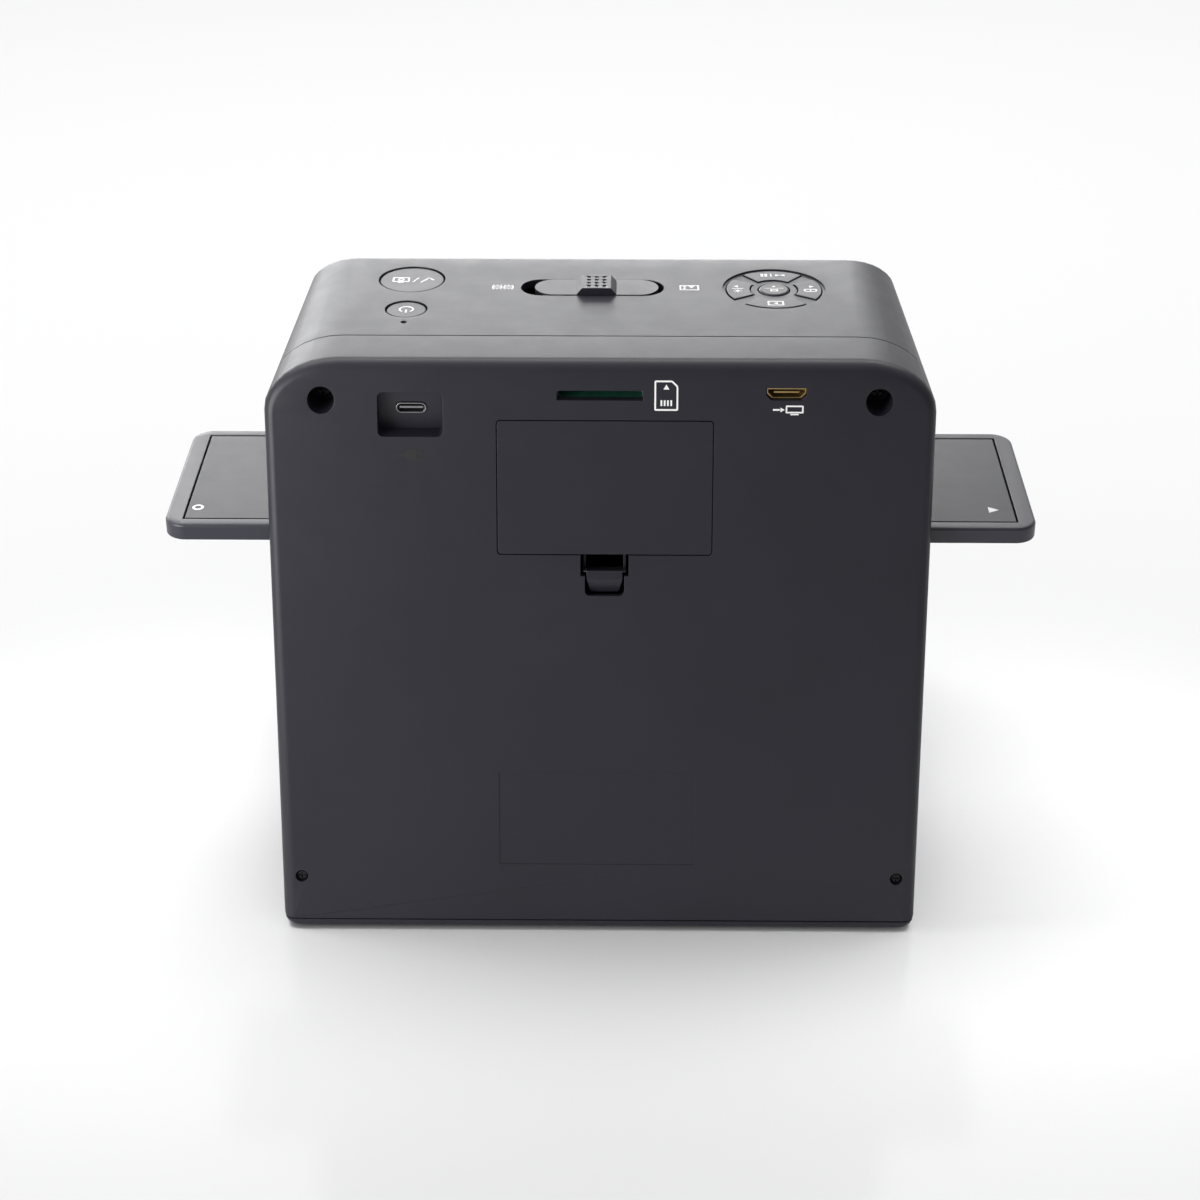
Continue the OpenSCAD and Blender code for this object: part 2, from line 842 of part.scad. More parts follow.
// Mouth of the video socket: flat top, lower corners cut away
module video_outline(grow) {
    w = video_w / 2 + grow;
    h = video_h / 2 + grow;
    cut = video_h * 0.45;
    polygon([[-w, -h], [w, -h], [w, h - cut], [w - cut, h], [-w + cut, h], [-w, h - cut]]);
}

// Opening for the door, its ledge, its hooks and its latch
module door_cut() {
    on_face(0, door_x, 0) {
        translate([0, door_mid, -door_t - door_gap])
            linear_extrude(10)
                round_rect(door_w + 2 * door_gap, door_h + 2 * door_gap, 1.2);
        translate([0, battery_mid_s, -box_floor])
            linear_extrude(20)
                square([battery_l + 2 * box_gap, battery_h + 2 * box_gap], center = true);
        for (sx = [-1, 1])
            translate([sx * door_w / 4 - hook_w / 2 - hook_gap, door_s - 1, -wall - hook_gap])
                cube([hook_w + 2 * hook_gap, hook_reach + 1 + hook_gap,
                      wall - door_t + hook_t + 2 * hook_gap]);
        slot_half = latch_w / 2 + latch_room;
        hollow_low = hollow_h + latch_arm + door_gap;
        root_top = latch_arm + 2 * door_gap;
        translate([0, door_foot, -latch_deep - 1])
            linear_extrude(latch_deep + 10) {
                polygon(tongue_outline(slot_half, slot_half, root_top, 0, -latch_h - latch_foot_room,
                                       tongue_slot_r));
                translate([-hollow_w / 2, -hollow_low])
                    square([hollow_w, hollow_low + root_top]);
            }
    }
}

// Base plate with a locating rim, screw holes and pockets for the feet
module base_plate() {
    color([0.15, 0.15, 0.16])
        difference() {
            union() {
                difference() {
                    body_form(0);
                    above(z0 + base_t);
                }
                base_rim();
            }
            for (p = base_posts) {
                translate([p[0], p[1], -1])
                    cylinder(d = base_screw_d + 0.4, h = far);
                translate([p[0], p[1], -1])
                    cylinder(d = base_head_d + 0.4, h = 1 + z0 + base_head_t);
            }
            for (sx = [-1, 1], y = lug_y) {
                translate([sx * lug_x, y, -1])
                    cylinder(d = board_screw_d + 0.4, h = far);
                translate([sx * lug_x, y, -1])
                    cylinder(d = 4.4, h = 1 + z0 + 1);
            }
            for (p = feet)
                translate([p[0], p[1], -1])
                    cylinder(d = foot_d + 0.2, h = 1 + z0 + foot_sink);
        }
}

// Outline of the rim inside the shell walls, drawn in by an inset
module rim_outline(inset) {
    top = z0 + base_t + rim_h;
    y = rear_y(top) + wall_across + inset;
    rear_half = side_x(y, z0) - inset;
    front_half = side_x(-y, z0) - inset;
    polygon([[-rear_half, y], [rear_half, y], [front_half, -y], [-front_half, -y]]);
}

// Locating rim of the base plate, open for the photo tray and the screw posts
module base_rim() {
    difference() {
        translate([0, 0, z0 + base_t / 2])
            linear_extrude(base_t / 2 + rim_h)
                difference() {
                    rim_outline(run_gap);
                    rim_outline(run_gap + rim_t);
                }
        block([-photo_half - photo_gap, 0, z0 + base_t], [photo_half + photo_gap, base_d, far]);
        for (p = base_posts)
            translate([p[0], p[1], z0 + base_t])
                linear_extrude(far)
                    square([base_post_d + 8, base_post_d + 1], center = true);
    }
}

// Four rubber feet with a rounded tread edge
module rubber_feet() {
    tall = foot_h + foot_sink;
    soft_r = foot_h * 0.6;
    color([0.08, 0.08, 0.08])
        for (p = feet)
            translate([p[0], p[1], 0])
                rotate_extrude()
                    polygon(concat([[0, 0]], arc(foot_d / 2 - soft_r, soft_r, soft_r, soft_r, -90, 0, 5),
                                   [[foot_d / 2, tall], [0, tall]]));
}

// Chassis: two side frames, the film way with its gate, and the tower for the camera
module optics_chassis() {
    color([0.1, 0.1, 0.1]) {
        difference() {
            union() {
                for (sx = [-1, 1]) {
                    side_frame(sx);
                    frame_lugs(sx);
                }
                film_way();
            }
            translate([0, axis_y, deck_low - 1])
                linear_extrude(gate_top - deck_low + 2)
                    square([window_l + 4, window_w + 4], center = true);
            for (sx = [-1, 1])
                translate([sx * light_hole_x, axis_y, deck_low - 1])
                    linear_extrude(deck_t + 1.2)
                        square([light_hole_l, light_hole_w], center = true);
        }
        camera_tower();
        backlight_clips();
        lever_post();
    }
}

// Side frame standing on the base plate, with the way for the film tray and a light window
module side_frame(sx) {
    foot_z = z0 + base_t + seat_gap;
    rear = tray_y - tray_half - rail_t - run_gap;
    front = tray_y + tray_half + rail_t + run_gap;
    strut = 9;
    x = sx * (frame_in + frame_t / 2);
    difference() {
        translate([x - frame_t / 2, 0, 0])
            rotate([90, 0, 90])
                linear_extrude(frame_t)
                    difference() {
                        polygon([[rear, foot_z], [front, foot_z], [front, gate_top],
                                 [axis_y + 20, gate_top + 14], [axis_y - 12, gate_top + 14],
                                 [rear + 7, gate_top], [rear, gate_low - 1]]);
                        polygon([[rear + strut, foot_z + strut], [front - strut, foot_z + strut],
                                 [front - strut, deck_low - strut], [rear + strut, deck_low - strut]]);
                    }
        block([x - far / 4, tray_y - tray_half - run_gap, deck_top],
              [x + far / 4, tray_y + tray_half + run_gap, gate_low]);
    }
}

// Lugs that a side frame is screwed down by
module frame_lugs(sx) {
    inner = sx * (frame_out - 0.5);
    outer = sx * (frame_out + lug_w);
    foot_z = z0 + base_t + seat_gap;
    for (y = lug_y)
        difference() {
            block([min(inner, outer), y - lug_l / 2, foot_z],
                  [max(inner, outer), y + lug_l / 2, foot_z + lug_t]);
            translate([sx * lug_x, y, z0])
                cylinder(d = board_screw_d - 0.4 + pilot_gap, h = far);
        }
}

// Deck below the tray, rails beside it and the gate above its middle
module film_way() {
    rear = tray_y - tray_half - run_gap;
    front = tray_y + tray_half + run_gap;
    gate_half = 40;
    block([-frame_in - 0.5, rear - rail_t, deck_low], [frame_in + 0.5, front + rail_t, deck_top]);
    block([-frame_in - 0.5, rear - rail_t, deck_low], [frame_in + 0.5, rear, gate_low - 1]);
    block([-frame_in - 0.5, front, deck_low], [frame_in + 0.5, front + rail_t, gate_low + 0.5]);
    block([-gate_half, rear + 8, gate_low], [gate_half, front + rail_t, gate_top]);
    for (sx = [-1, 1])
        block([min(sx * (gate_half - 0.5), sx * (frame_in + 0.5)), axis_y + 6, gate_low],
              [max(sx * (gate_half - 0.5), sx * (frame_in + 0.5)), axis_y + 18, gate_top]);
}

// Two walls on the gate and the plate that carries the camera
module camera_tower() {
    tower_wall = 2.2;
    tower_half = -2 * pivot_x + lever_ring_r + 1 + tower_wall;
    tower_rear = axis_y - tower_reach;
    tower_front = slot_y - pin_room;
    tower_top = plate_z + plate_t;
    difference() {
        union() {
            for (x = [-tower_half, tower_half - tower_wall])
                block([x, tower_rear, gate_top - 0.5], [x + tower_wall, tower_front, tower_top]);
            block([-tower_half, tower_rear, plate_z], [tower_half, tower_front, tower_top]);
        }
        translate([0, axis_y, plate_z - 1])
            cylinder(d = barrel_d + 0.2, h = plate_t + 2);
    }
}

// Rails under the deck that hold the light panel
panel_l = 60;
panel_w = 40;
panel_t = 4;
lamp_side = 9;
lamp_w = 8;
lamp_l = 54;
lamp_t = 1.2;
chip = 3;
chip_h = 0.8;
light_hole_x = 55;
light_hole_l = 24;
light_hole_w = 30;
module backlight_clips() {
    clip = 2;
    lip = 1.5;
    low = deck_low - panel_t - 0.2 - clip;
    for (sy = [-1, 1]) {
        edge = axis_y + sy * (panel_w / 2 + 0.2);
        out = edge + sy * clip;
        inner = edge - sy * lip;
        block([-panel_l / 2, min(edge, out), low], [panel_l / 2, max(edge, out), deck_low + 0.5]);
        block([-panel_l / 2, min(inner, out), low], [panel_l / 2, max(inner, out), low + clip - 0.1]);
    }
}

// Post on the gate that carries the lever
module lever_post() {
    difference() {
        translate([pivot_x, pivot_y, gate_top - 0.5])
            cylinder(d = 6, h = lever_z - 0.2 - gate_top + 0.5);
        translate([pivot_x, pivot_y, gate_top + 0.5])
            cylinder(d = pivot_d - 0.6 + pilot_gap, h = far);
    }
}

// Pan-head screw pointing along -Z from its head's seat at the origin
module pan_screw(head_d, head_t, shank_d, l) {
    rotate_extrude()
        polygon(concat([[0, -l], [shank_d / 2 - 0.3, -l], [shank_d / 2, -l + 0.6], [shank_d / 2, 0],
                        [head_d / 2, 0], [head_d / 2, head_t * 0.4]],
                       [for (k = [1:4]) let (a = 90 * k / 4)
                        [head_d / 2 - head_t * 0.6 * (1 - cos(a)), head_t * 0.4 + head_t * 0.6 * sin(a)]],
                       [[0, head_t]]));
}

// Cross recess in a screw head of height head_t
module cross_recess(size, head_t) {
    for (a = [0, 90])
        rotate(a)
            translate([-size / 2, -size / 8, head_t * 0.45])
                cube([size, size / 4, head_t]);
}

// One screw with its cross recess
module cross_screw(head_d, head_t, shank_d, l) {
    difference() {
        pan_screw(head_d, head_t, shank_d, l);
        cross_recess(head_d * 0.6, head_t);
    }
}

// Screws at the bottom of the two upper wells
module upper_case_screws() {
    color([0.12, 0.12, 0.12])
        for (sx = [-1, 1])
            translate([sx * well_x, well_floor_y, well_z])
                rotate([90, 0, 0])
                    cross_screw(case_head_d, case_head_t, case_screw_d - 0.4, well_floor + seam_gap + 8);
}

// Small screws near the foot of the rear face
module lower_case_screws() {
    color([0.12, 0.12, 0.12])
        for (sx = [-1, 1])
            on_face(0, sx * low_screw_x, low_screw_s)
                translate([0, 0, -low_screw_floor])
                    cross_screw(low_screw_head_d, low_screw_head_t, low_shank_d, cover_d + 7);
}

// Screws through the base plate into the front shell
module base_screws() {
    color([0.12, 0.12, 0.12])
        for (p = base_posts)
            translate([p[0], p[1], z0 + base_head_t])
                rotate([180, 0, 0])
                    cross_screw(base_head_d, base_head_t - 0.2, base_screw_d - 0.4, base_post_h - 2);
}

// Screws through the base plate into the chassis lugs
module chassis_screws() {
    color([0.4, 0.4, 0.42])
        for (sx = [-1, 1], y = lug_y)
            translate([sx * lug_x, y, z0 + 1])
                rotate([180, 0, 0])
                    cross_screw(board_head_d, lug_head_t, board_screw_d - 0.4, base_t + lug_t - 1.5);
}

// Screws that hold the two boards to the posts under the top
module board_screws() {
    color([0.6, 0.6, 0.62]) {
        for (p = main_post)
            translate([p[0], p[1], main_board_z])
                rotate([180, 0, 0])
                    cross_screw(board_head_d, board_head_t, board_screw_d - 0.4, board_t + board_bite);
        for (p = key_post)
            translate([p[0], p[1], key_board_top - board_t])
                rotate([180, 0, 0])
                    cross_screw(board_head_d, board_head_t, board_screw_d - 0.4, board_t + board_bite);
    }
}

// Glass over the screen, flush with the front face
module screen_glass() {
    color([0.03, 0.03, 0.04])
        on_face(1, 0, glass_s)
            translate([0, 0, -glass_t])
                linear_extrude(glass_t - 0.05)
                    round_rect(glass_w, glass_h, glass_r);
}

// Display module behind the front wall
module lcd_panel() {
    color([0.2, 0.22, 0.25])
        on_face(1, 0, glass_s)
            translate([0, 0, -wall - lcd_t - 0.1])
                linear_extrude(lcd_t)
                    round_rect(picture_w + 2 * lcd_border, picture_h + 2 * lcd_border, 1);
}

// Board that carries the three sockets, with a shield can on its top
module main_board() {
    pocket_half = usb_pocket_w / 2 + usb_pocket_wall + run_gap;
    color([0.05, 0.3, 0.18]) {
        difference() {
            block([-main_board_half, main_board_rear, main_board_z],
                  [main_board_half, main_board_front, main_board_top]);
            block([-usb_x - pocket_half, main_board_rear - 1, main_board_z - 1],
                  [-usb_x + pocket_half, usb_wall_y + usb_pocket_wall + run_gap, main_board_top + 1]);
            block([-usb_x - usb_shell_w / 2 - 0.1, main_board_rear - 1, main_board_z - 1],
                  [-usb_x + usb_shell_w / 2 + 0.1, usb_wall_y + usb_shell_l, main_board_top + 1]);
            for (p = main_post)
                translate([p[0], p[1], main_board_z - 1])
                    cylinder(d = board_screw_d + 0.2, h = board_t + 2);
        }
        block([-can_x - can_l, main_board_front - can_rear, main_board_top - eps],
              [-can_x, main_board_front - can_front, main_board_top + can_h]);
    }
}

// Power and data socket in the pocket, sunk in a notch of the board
module usb_c_socket() {
    lip = 0.35;
    mouth = usb_wall_y - 0.4;
    color([0.75, 0.75, 0.77]) {
        translate([-usb_x, mouth, usb_z])
            rotate([-90, 0, 0])
                difference() {
                    linear_extrude(usb_shell_l)
                        stadium(usb_shell_w, usb_shell_h);
                    translate([0, 0, -1])
                        linear_extrude(usb_shell_l - 1)
                            stadium(usb_shell_w - 2 * lip, usb_shell_h - 2 * lip);
                }
        block([-usb_x - 3.4, mouth + 0.6, usb_z - 0.35],
              [-usb_x + 3.4, mouth + usb_shell_l - 0.5, usb_z + 0.35]);
        for (sx = [-1, 1])
            block([-usb_x + sx * usb_shell_w / 2 - 0.8, mouth + 4.6, main_board_top],
                  [-usb_x + sx * usb_shell_w / 2 + 0.8, mouth + 6.6, main_board_top + 0.3]);
        block([-usb_x - usb_shell_w / 2, mouth + 4.6, usb_z + usb_shell_h / 2 - 0.2],
              [-usb_x + usb_shell_w / 2, mouth + 6.6, main_board_top + 0.3]);
    }
}

// Card cage on the board, which forms its floor
module sd_card_socket() {
    cage_h = 2.9;
    cage_l = 17;
    rear = rear_y(main_board_top + cage_h) + wall_across + run_gap;
    color([0.7, 0.7, 0.72])
        difference() {
            block([-sd_w / 2 - 1.2, rear, main_board_top],
                  [sd_w / 2 + 1.2, rear + cage_l, main_board_top + cage_h]);
            block([-sd_w / 2 + 0.3, rear - 1, main_board_top - 1],
                  [sd_w / 2 - 0.3, rear + cage_l - 1, main_board_top + cage_h - 0.4]);
        }
}

// Video socket on the board
module video_socket() {
    lip = 0.35;
    l = 7;
    mouth = rear_y(video_z) + 0.8;
    color([0.72, 0.6, 0.35])
        translate([video_x, mouth, video_z])
            rotate([-90, 0, 0]) {
                difference() {
                    linear_extrude(l + 1)
                        video_outline(0);
                    translate([0, 0, -1])
                        linear_extrude(l)
                            video_outline(-lip);
                }
                translate([-video_w / 2 + 2, -0.3, 0.8])
                    cube([video_w - 4, 0.6, l - 1]);
                translate([-video_w / 2 + 1, 0, l - 0.5])
                    cube([video_w - 2, video_z - main_board_top, 3.6]);
            }
}

// Board under the buttons, open where the slider's pin comes down
module key_board() {
    color([0.05, 0.3, 0.18])
        difference() {
            block([key_board_left, key_board_rear, key_board_top - board_t],
                  [key_board_right, key_board_front, key_board_top]);
            block([slot_x - slot_l / 2 - 2, slot_y - slot_w / 2 - 4, 0],
                  [slot_x + slot_l / 2 + 2, slot_y + slot_w / 2 + 4, far]);
            for (p = key_post)
                translate([p[0], p[1], 0])
                    cylinder(d = board_screw_d + 0.2, h = far);
        }
}

// Centres of the five keys of the pad, in the order centre, right, up, left, down
key_mid_r = (key_r_in + pad_key_r) / 2;
key_places = concat([[pad_x, pad_y]],
                    [for (dir = [0, 90, 180, 270])
                     [pad_x + key_mid_r * cos(dir), pad_y + key_mid_r * sin(dir)]]);

// One switch under each button
module key_switches() {
    color([0.7, 0.7, 0.7])
        for (p = concat([[-button_x, ok_y], [-button_x, power_y]], key_places))
            translate([p[0], p[1], key_board_top]) {
                translate([-2.2, -2.2, 0])
                    cube([4.4, 4.4, switch_h * 0.7]);
                cylinder(d = 2.6, h = switch_h);
            }
}

// Light pipe of the status light
module status_light() {
    color([0.8, 0.8, 0.75])
        translate([-button_x, led_y, 0]) {
            translate([0, 0, key_board_top])
                cylinder(d = led_d, h = top_z - key_board_top - led_sink);
            translate([0, 0, key_board_top])
                cylinder(d = led_d + 1.6, h = 3);
        }
}

// Board with the image sensor, on the tower's plate
module camera_board() {
    color([0.05, 0.3, 0.18])
        translate([0, axis_y, plate_z + plate_t])
            difference() {
                translate([-camera_board_l / 2, -camera_board_w / 2, 0])
                    cube([camera_board_l, camera_board_w, board_t]);
                translate([0, 0, -1])
                    cylinder(d = camera_hole_d, h = board_t + 2);
            }
}

// Sensor in its package over the hole of the board
module image_sensor() {
    color([0.2, 0.2, 0.22])
        translate([-sensor_l / 2, axis_y - sensor_w / 2, plate_z + plate_t + board_t])
            cube([sensor_l, sensor_w, sensor_t]);
}

// Lens barrel hanging from the tower's plate, with a flange on its top
module lens_barrel() {
    bore = 7;
    color([0.06, 0.06, 0.06])
        translate([0, axis_y, lens_z])
            rotate_extrude()
                polygon([[bore / 2 + 1, 0], [barrel_d / 2 - 0.6, 0], [barrel_d / 2, 0.6],
                         [barrel_d / 2, barrel_l + plate_t - 0.1], [bore / 2, barrel_l + plate_t - 0.1],
                         [bore / 2, 4], [bore / 2 + 1, 3]]);
}

// Clear light panel below the film gate
module backlight_panel() {
    color([0.85, 0.9, 0.95])
        translate([-panel_l / 2, axis_y - panel_w / 2, deck_low - panel_t - 0.1])
            cube([panel_l, panel_w, panel_t]);
}

// Light board at the edge of the panel
module backlight_board() {
    color([0.9, 0.9, 0.85]) {
        translate([panel_l / 2 + 1, axis_y - panel_w / 2, deck_low - panel_t])
            cube([1.2, panel_w, panel_t]);
        for (k = [-2:2])
            translate([panel_l / 2 + 0.2, axis_y + 8 * k - 1.5, deck_low - panel_t + 1])
                cube([0.9, 3, 2]);
    }
}

// Two light strips that shine down on the print
module photo_lamps() {
    lamp_x = frame_in - lamp_side;
    color([0.9, 0.9, 0.85])
        for (sx = [-1, 1]) {
            translate([sx * lamp_x - lamp_w / 2, axis_y - lamp_l / 2, deck_low - lamp_t])
                cube([lamp_w, lamp_l, lamp_t]);
            for (k = [-2:2])
                translate([sx * lamp_x - chip / 2, axis_y + lamp_l / 5 * k - chip / 2,
                           deck_low - lamp_t - chip_h])
                    cube([chip, chip, chip_h + eps]);
        }
}

// Flat battery pack in its box behind the door
module battery_pack() {
    color([0.13, 0.16, 0.2])
        on_face(0, door_x, battery_mid_s)
            translate([0, 0, -battery_face - battery_t])
                linear_extrude(battery_t)
                    round_rect(battery_l, battery_h, 1.5);
}

// Three leaf contacts between the pack and the end of its box
module battery_contacts() {
    color([0.8, 0.7, 0.4])
        for (k = [-1:1])
            on_face(0, door_x + battery_l / 2, battery_mid_s + 5 * k)
                translate([0, -1, -battery_face - battery_t + 0.5])
                    cube([contact_t - 0.1, 2, battery_t - 1]);
}

// Shoulder screw that the lever turns on
module lever_pivot() {
    color([0.7, 0.7, 0.72])
        translate([pivot_x, pivot_y, lever_z - 0.2]) {
            cylinder(d = pivot_d, h = lever_t + 0.5);
            translate([0, 0, lever_t + 0.5])
                cylinder(d = 5.4, h = 1);
            translate([0, 0, -2.5])
                cylinder(d = pivot_d - 0.6, h = 3);
        }
}

// Lever that swings the close-up lens, with a slot for the slider's pin
module lens_lever() {
    color([0.25, 0.25, 0.27])
        translate([pivot_x, pivot_y, lever_z])
            rotate(rest_swing)
                difference() {
                    linear_extrude(lever_t)
                        difference() {
                            union() {
                                circle(4.2);
                                translate([-3, 0])
                                    square([6, lever_short + 2]);
                                translate([0, lever_short + 1])
                                    circle(3);
                                translate([-2.2, -lever_long + lever_ring_r - 0.5])
                                    square([4.4, lever_long - lever_ring_r]);
                                translate([0, -lever_long])
                                    circle(lever_ring_r);
                            }
                            translate([0, -lever_long])
                                circle(close_lens_r - 0.6);
                            translate([-pin_slot_w / 2, lever_short - 0.6])
                                square([pin_slot_w, 1.2]);
                            for (y = [-0.6, 0.6])
                                translate([0, lever_short + y])
                                    circle(pin_slot_w / 2);
                        }
                    translate([0, 0, -1])
                        cylinder(d = pivot_bore, h = lever_t + 2);
                    translate([0, -lever_long, lever_t - 1])
                        cylinder(r = close_lens_r + 0.05, h = 2);
                }
}

// Close-up lens in the ring of the lever
module close_up_lens() {
    crown = 0.5;
    ball = (close_lens_r * close_lens_r + crown * crown) / (2 * crown);
    color([0.7, 0.8, 0.85])
        translate([pivot_x, pivot_y, lever_z + lever_t - 1])
            rotate(rest_swing)
                translate([0, -lever_long, 0])
                    intersection() {
                        cylinder(r = close_lens_r, h = 2);
                        translate([0, 0, 1 + crown - ball])
                            sphere(ball, $fn = 96);
                    }
}

// Outline of the film tray, drawn in by an inset
module tray_outline(inset) {
    round_rect(tray_l - 2 * inset, tray_w - 2 * inset, tray_corner_r - inset);
}

// Row of film windows
module film_windows(grow) {
    for (k = [0:window_n - 1])
        translate([(k - (window_n - 1) / 2) * window_pitch, 0])
            square([window_l + grow, window_w + grow], center = true);
}

lid_l = tray_l - 2 * tray_end_border - 2 * lid_gap;
lid_w = tray_w - 2 * tray_side_border - 2 * lid_gap;
lid_seat = tray_t - lid_t - 0.1;

// Lower half of the film tray, with a well for the lid and a channel for the strip
module film_tray() {
    strip_w = 35.4;
    strip_d = 0.5;
    soft = tray_edge_r;
    color([0.2, 0.2, 0.21])
        translate([0, tray_y, tray_z])
            difference() {
                hull() {
                    linear_extrude(tray_t - soft)
                        tray_outline(0);
                    linear_extrude(tray_t - soft * 0.29)
                        tray_outline(soft * 0.29);
                    linear_extrude(tray_t)
                        tray_outline(soft);
                }
                translate([0, 0, lid_seat])
                    linear_extrude(tray_t)
                        square([lid_l + 2 * lid_gap, lid_w + 2 * lid_gap], center = true);
                translate([0, 0, lid_seat - strip_d])
                    linear_extrude(tray_t)
                        square([window_n * window_pitch + 6, strip_w], center = true);
                translate([0, 0, -1])
                    linear_extrude(tray_t)
                        film_windows(0);
            }
}

// Lid of the film tray, flush with its border
module film_tray_lid() {
    color([0.2, 0.2, 0.21])
        translate([0, tray_y, tray_z + lid_seat])
            linear_extrude(lid_t)
                difference() {
                    square([lid_l, lid_w], center = true);
                    film_windows(0);
                }
}

// Tray for a print, with a front panel that closes the housing
module photo_tray() {
    rear = axis_y - print_w / 2 - 5;
    front = base_d / 2 - 8;
    lip_gap = run_gap;
    color([0.17, 0.17, 0.18])
        difference() {
            union() {
                block([-photo_half, rear, photo_z], [photo_half, front, photo_z + photo_t]);
                intersection() {
                    body_form(0);
                    block([-photo_half, front - 4, photo_z],
                          [photo_half, base_d, photo_z + photo_front_h - lip_gap]);
                }
            }
            translate([0, axis_y, photo_z + photo_t - 1])
                linear_extrude(1.1)
                    square([print_l + 1, print_w + 1], center = true);
            translate([0, axis_y, photo_z - 1])
                cylinder(d = 24, h = photo_t + 2);
            on_face(1, 0, 0)
                translate([0, photo_front_h / 2 + base_t, 2.5])
                    rotate([0, 90, 0])
                        cylinder(r = 4.5, h = 44, center = true);
        }
}

// Mode slider: plate in the slot, grip on it, retaining flange and pin below it
module mode_slider() {
    plate_top = top_z + slide_rise;
    grip_rise = grip_h - slide_rise;
    flange_w = slot_w + 5;
    flange_l = slide_plate_l - 6;
    flange_low = flange_top - flange_t;
    grip_w = slide_plate_w - 1.2;
    grip_y = 0.1 - (slide_plate_w - grip_w) / 2;
    grip_foot = 1.8;
    dimple_step = grip_w / 4.6;
    dimple_d = 1.3;
    color([0.2, 0.2, 0.21])
        translate([slide_x, slot_y, 0]) {
            translate([0, 0, flange_low + eps])
                linear_extrude(plate_top - flange_low - eps)
                    stadium(slide_plate_l, slide_plate_w);
            translate([-flange_l / 2, -flange_w / 2, flange_low])
                cube([flange_l, flange_w, flange_t]);
            difference() {
                translate([0, grip_y + grip_w / 2, plate_top - eps])
                    rotate([90, 0, 0])
                        linear_extrude(grip_w)
                            polygon([[-grip_l / 2, 0], [grip_l / 2, 0],
                                     [grip_l / 2 - grip_foot, grip_rise],
                                     [-grip_l / 2 + grip_foot, grip_rise]]);
                for (col = [-1:1], row = [-1.5:1.5])
                    translate([dimple_step * col, grip_y + dimple_step * row, plate_top + grip_rise - 0.5])
                        cylinder(d = dimple_d, h = 5, $fn = 24);
            }
            translate([pin_x - slide_x, 0, lever_z - 1])
                cylinder(d = pin_d, h = flange_low - lever_z + 1 + eps);
            translate([pin_x - slide_x, 0, lever_z + lever_t + 2])
                cylinder(d = 4.4, h = flange_low - lever_z - lever_t - 2 + eps);
        }
}

// Round button: cap with a soft edge, flange under the wall and stem over the switch
module round_button(x, y, d) {
    soft = 0.4;
    flange = d / 2 + 1.2;
    stem = 2.5;
    crown = top_z - button_sink;
    translate([x, y, 0])
        rotate_extrude()
            polygon([[0, stem_low], [stem, stem_low], [stem, flange_top - flange_t],
                     [flange, flange_top - flange_t], [flange, flange_top], [d / 2, flange_top],
                     [d / 2, crown - soft], [d / 2 - soft, crown], [0, crown]]);
}

// Capture button
module ok_button() {
    color([0.2, 0.2, 0.21])
        round_button(-button_x, ok_y, ok_d);
}

// Power button
module power_button() {
    color([0.2, 0.2, 0.21])
        round_button(-button_x, power_y, power_d);
}

// Centre key of the pad
module key_centre() {
    flange = key_r_in - key_gap - 0.6;
    color([0.2, 0.2, 0.21])
        translate([pad_x, pad_y, 0])
            rotate_extrude()
                polygon([[0, stem_low], [1.8, stem_low], [1.8, flange_top - flange_t],
                         [flange, flange_top - flange_t], [flange, flange_top], [centre_d / 2, flange_top],
                         [centre_d / 2, top_z - 0.5], [centre_d / 2 - 0.5, top_z - 0.1], [0, top_z - 0.1]]);
}

// One of the four outer keys of the pad
module pad_key(dir) {
    half = key_half(dir);
    color([0.2, 0.2, 0.21])
        translate([pad_x, pad_y, 0]) {
            translate([0, 0, flange_top - flange_t])
                linear_extrude(top_z - 0.2 - flange_top + flange_t)
                    sector(key_r_in, pad_key_r, dir, half);
            translate([0, 0, flange_top - flange_t])
                linear_extrude(flange_t)
                    sector(key_r_in + 2, pad_key_r + 1.4, dir, half);
            rotate(dir)
                translate([key_mid_r, 0, stem_low])
                    cylinder(d = 3.6, h = flange_top - flange_t - stem_low + eps);
        }
}

// Key at the pad's far side
module key_up() {
    pad_key(90);
}

// Key at the pad's near side
module key_down() {
    pad_key(270);
}

// Key at the pad's left
module key_left() {
    pad_key(180);
}

// Key at the pad's right
module key_right() {
    pad_key(0);
}

// Latch of the door: a leg at each end of the hollow carries a tongue with a rim bar at its top
module door_latch() {
    bar_half = hollow_w / 2 - rim_bar_room;
    for (sx = [-1, 1])
        translate([sx * (bar_half - latch_leg / 2) - latch_leg / 2, 0, 0])
            rotate([90, 0, 90])
                linear_extrude(latch_leg)
                    leg_profile();
    translate([-bar_half, -hollow_h - latch_bar, -latch_deep])
        cube([2 * bar_half, latch_bar, latch_deep - tongue_t + eps]);
    translate([-bar_half, -hollow_h - rim_bar_h, -rim_bar_sink - latch_arm])
        cube([2 * bar_half, rim_bar_h, latch_arm]);
    intersection() {
        translate([-latch_w / 2, 0, 0])
            rotate([90, 0, 90])
                linear_extrude(latch_w)
                    tongue_profile();
        translate([0, 0, -latch_deep])
            linear_extrude(latch_deep)
                polygon(tongue_outline(latch_w / 2, latch_foot_w / 2, 0, -hollow_h - tongue_ridge, -latch_h,
                                       tongue_r));
    }
}

// Side view of a leg, bent inwards from the door: x up along the door, y outwards
module leg_profile() {
    polygon([[latch_arm, -door_t], [latch_arm, -latch_deep], [-hollow_h - eps, -latch_deep],
             [-hollow_h - eps, -latch_deep + latch_arm], [0, -latch_deep + latch_arm], [0, -door_t]]);
}

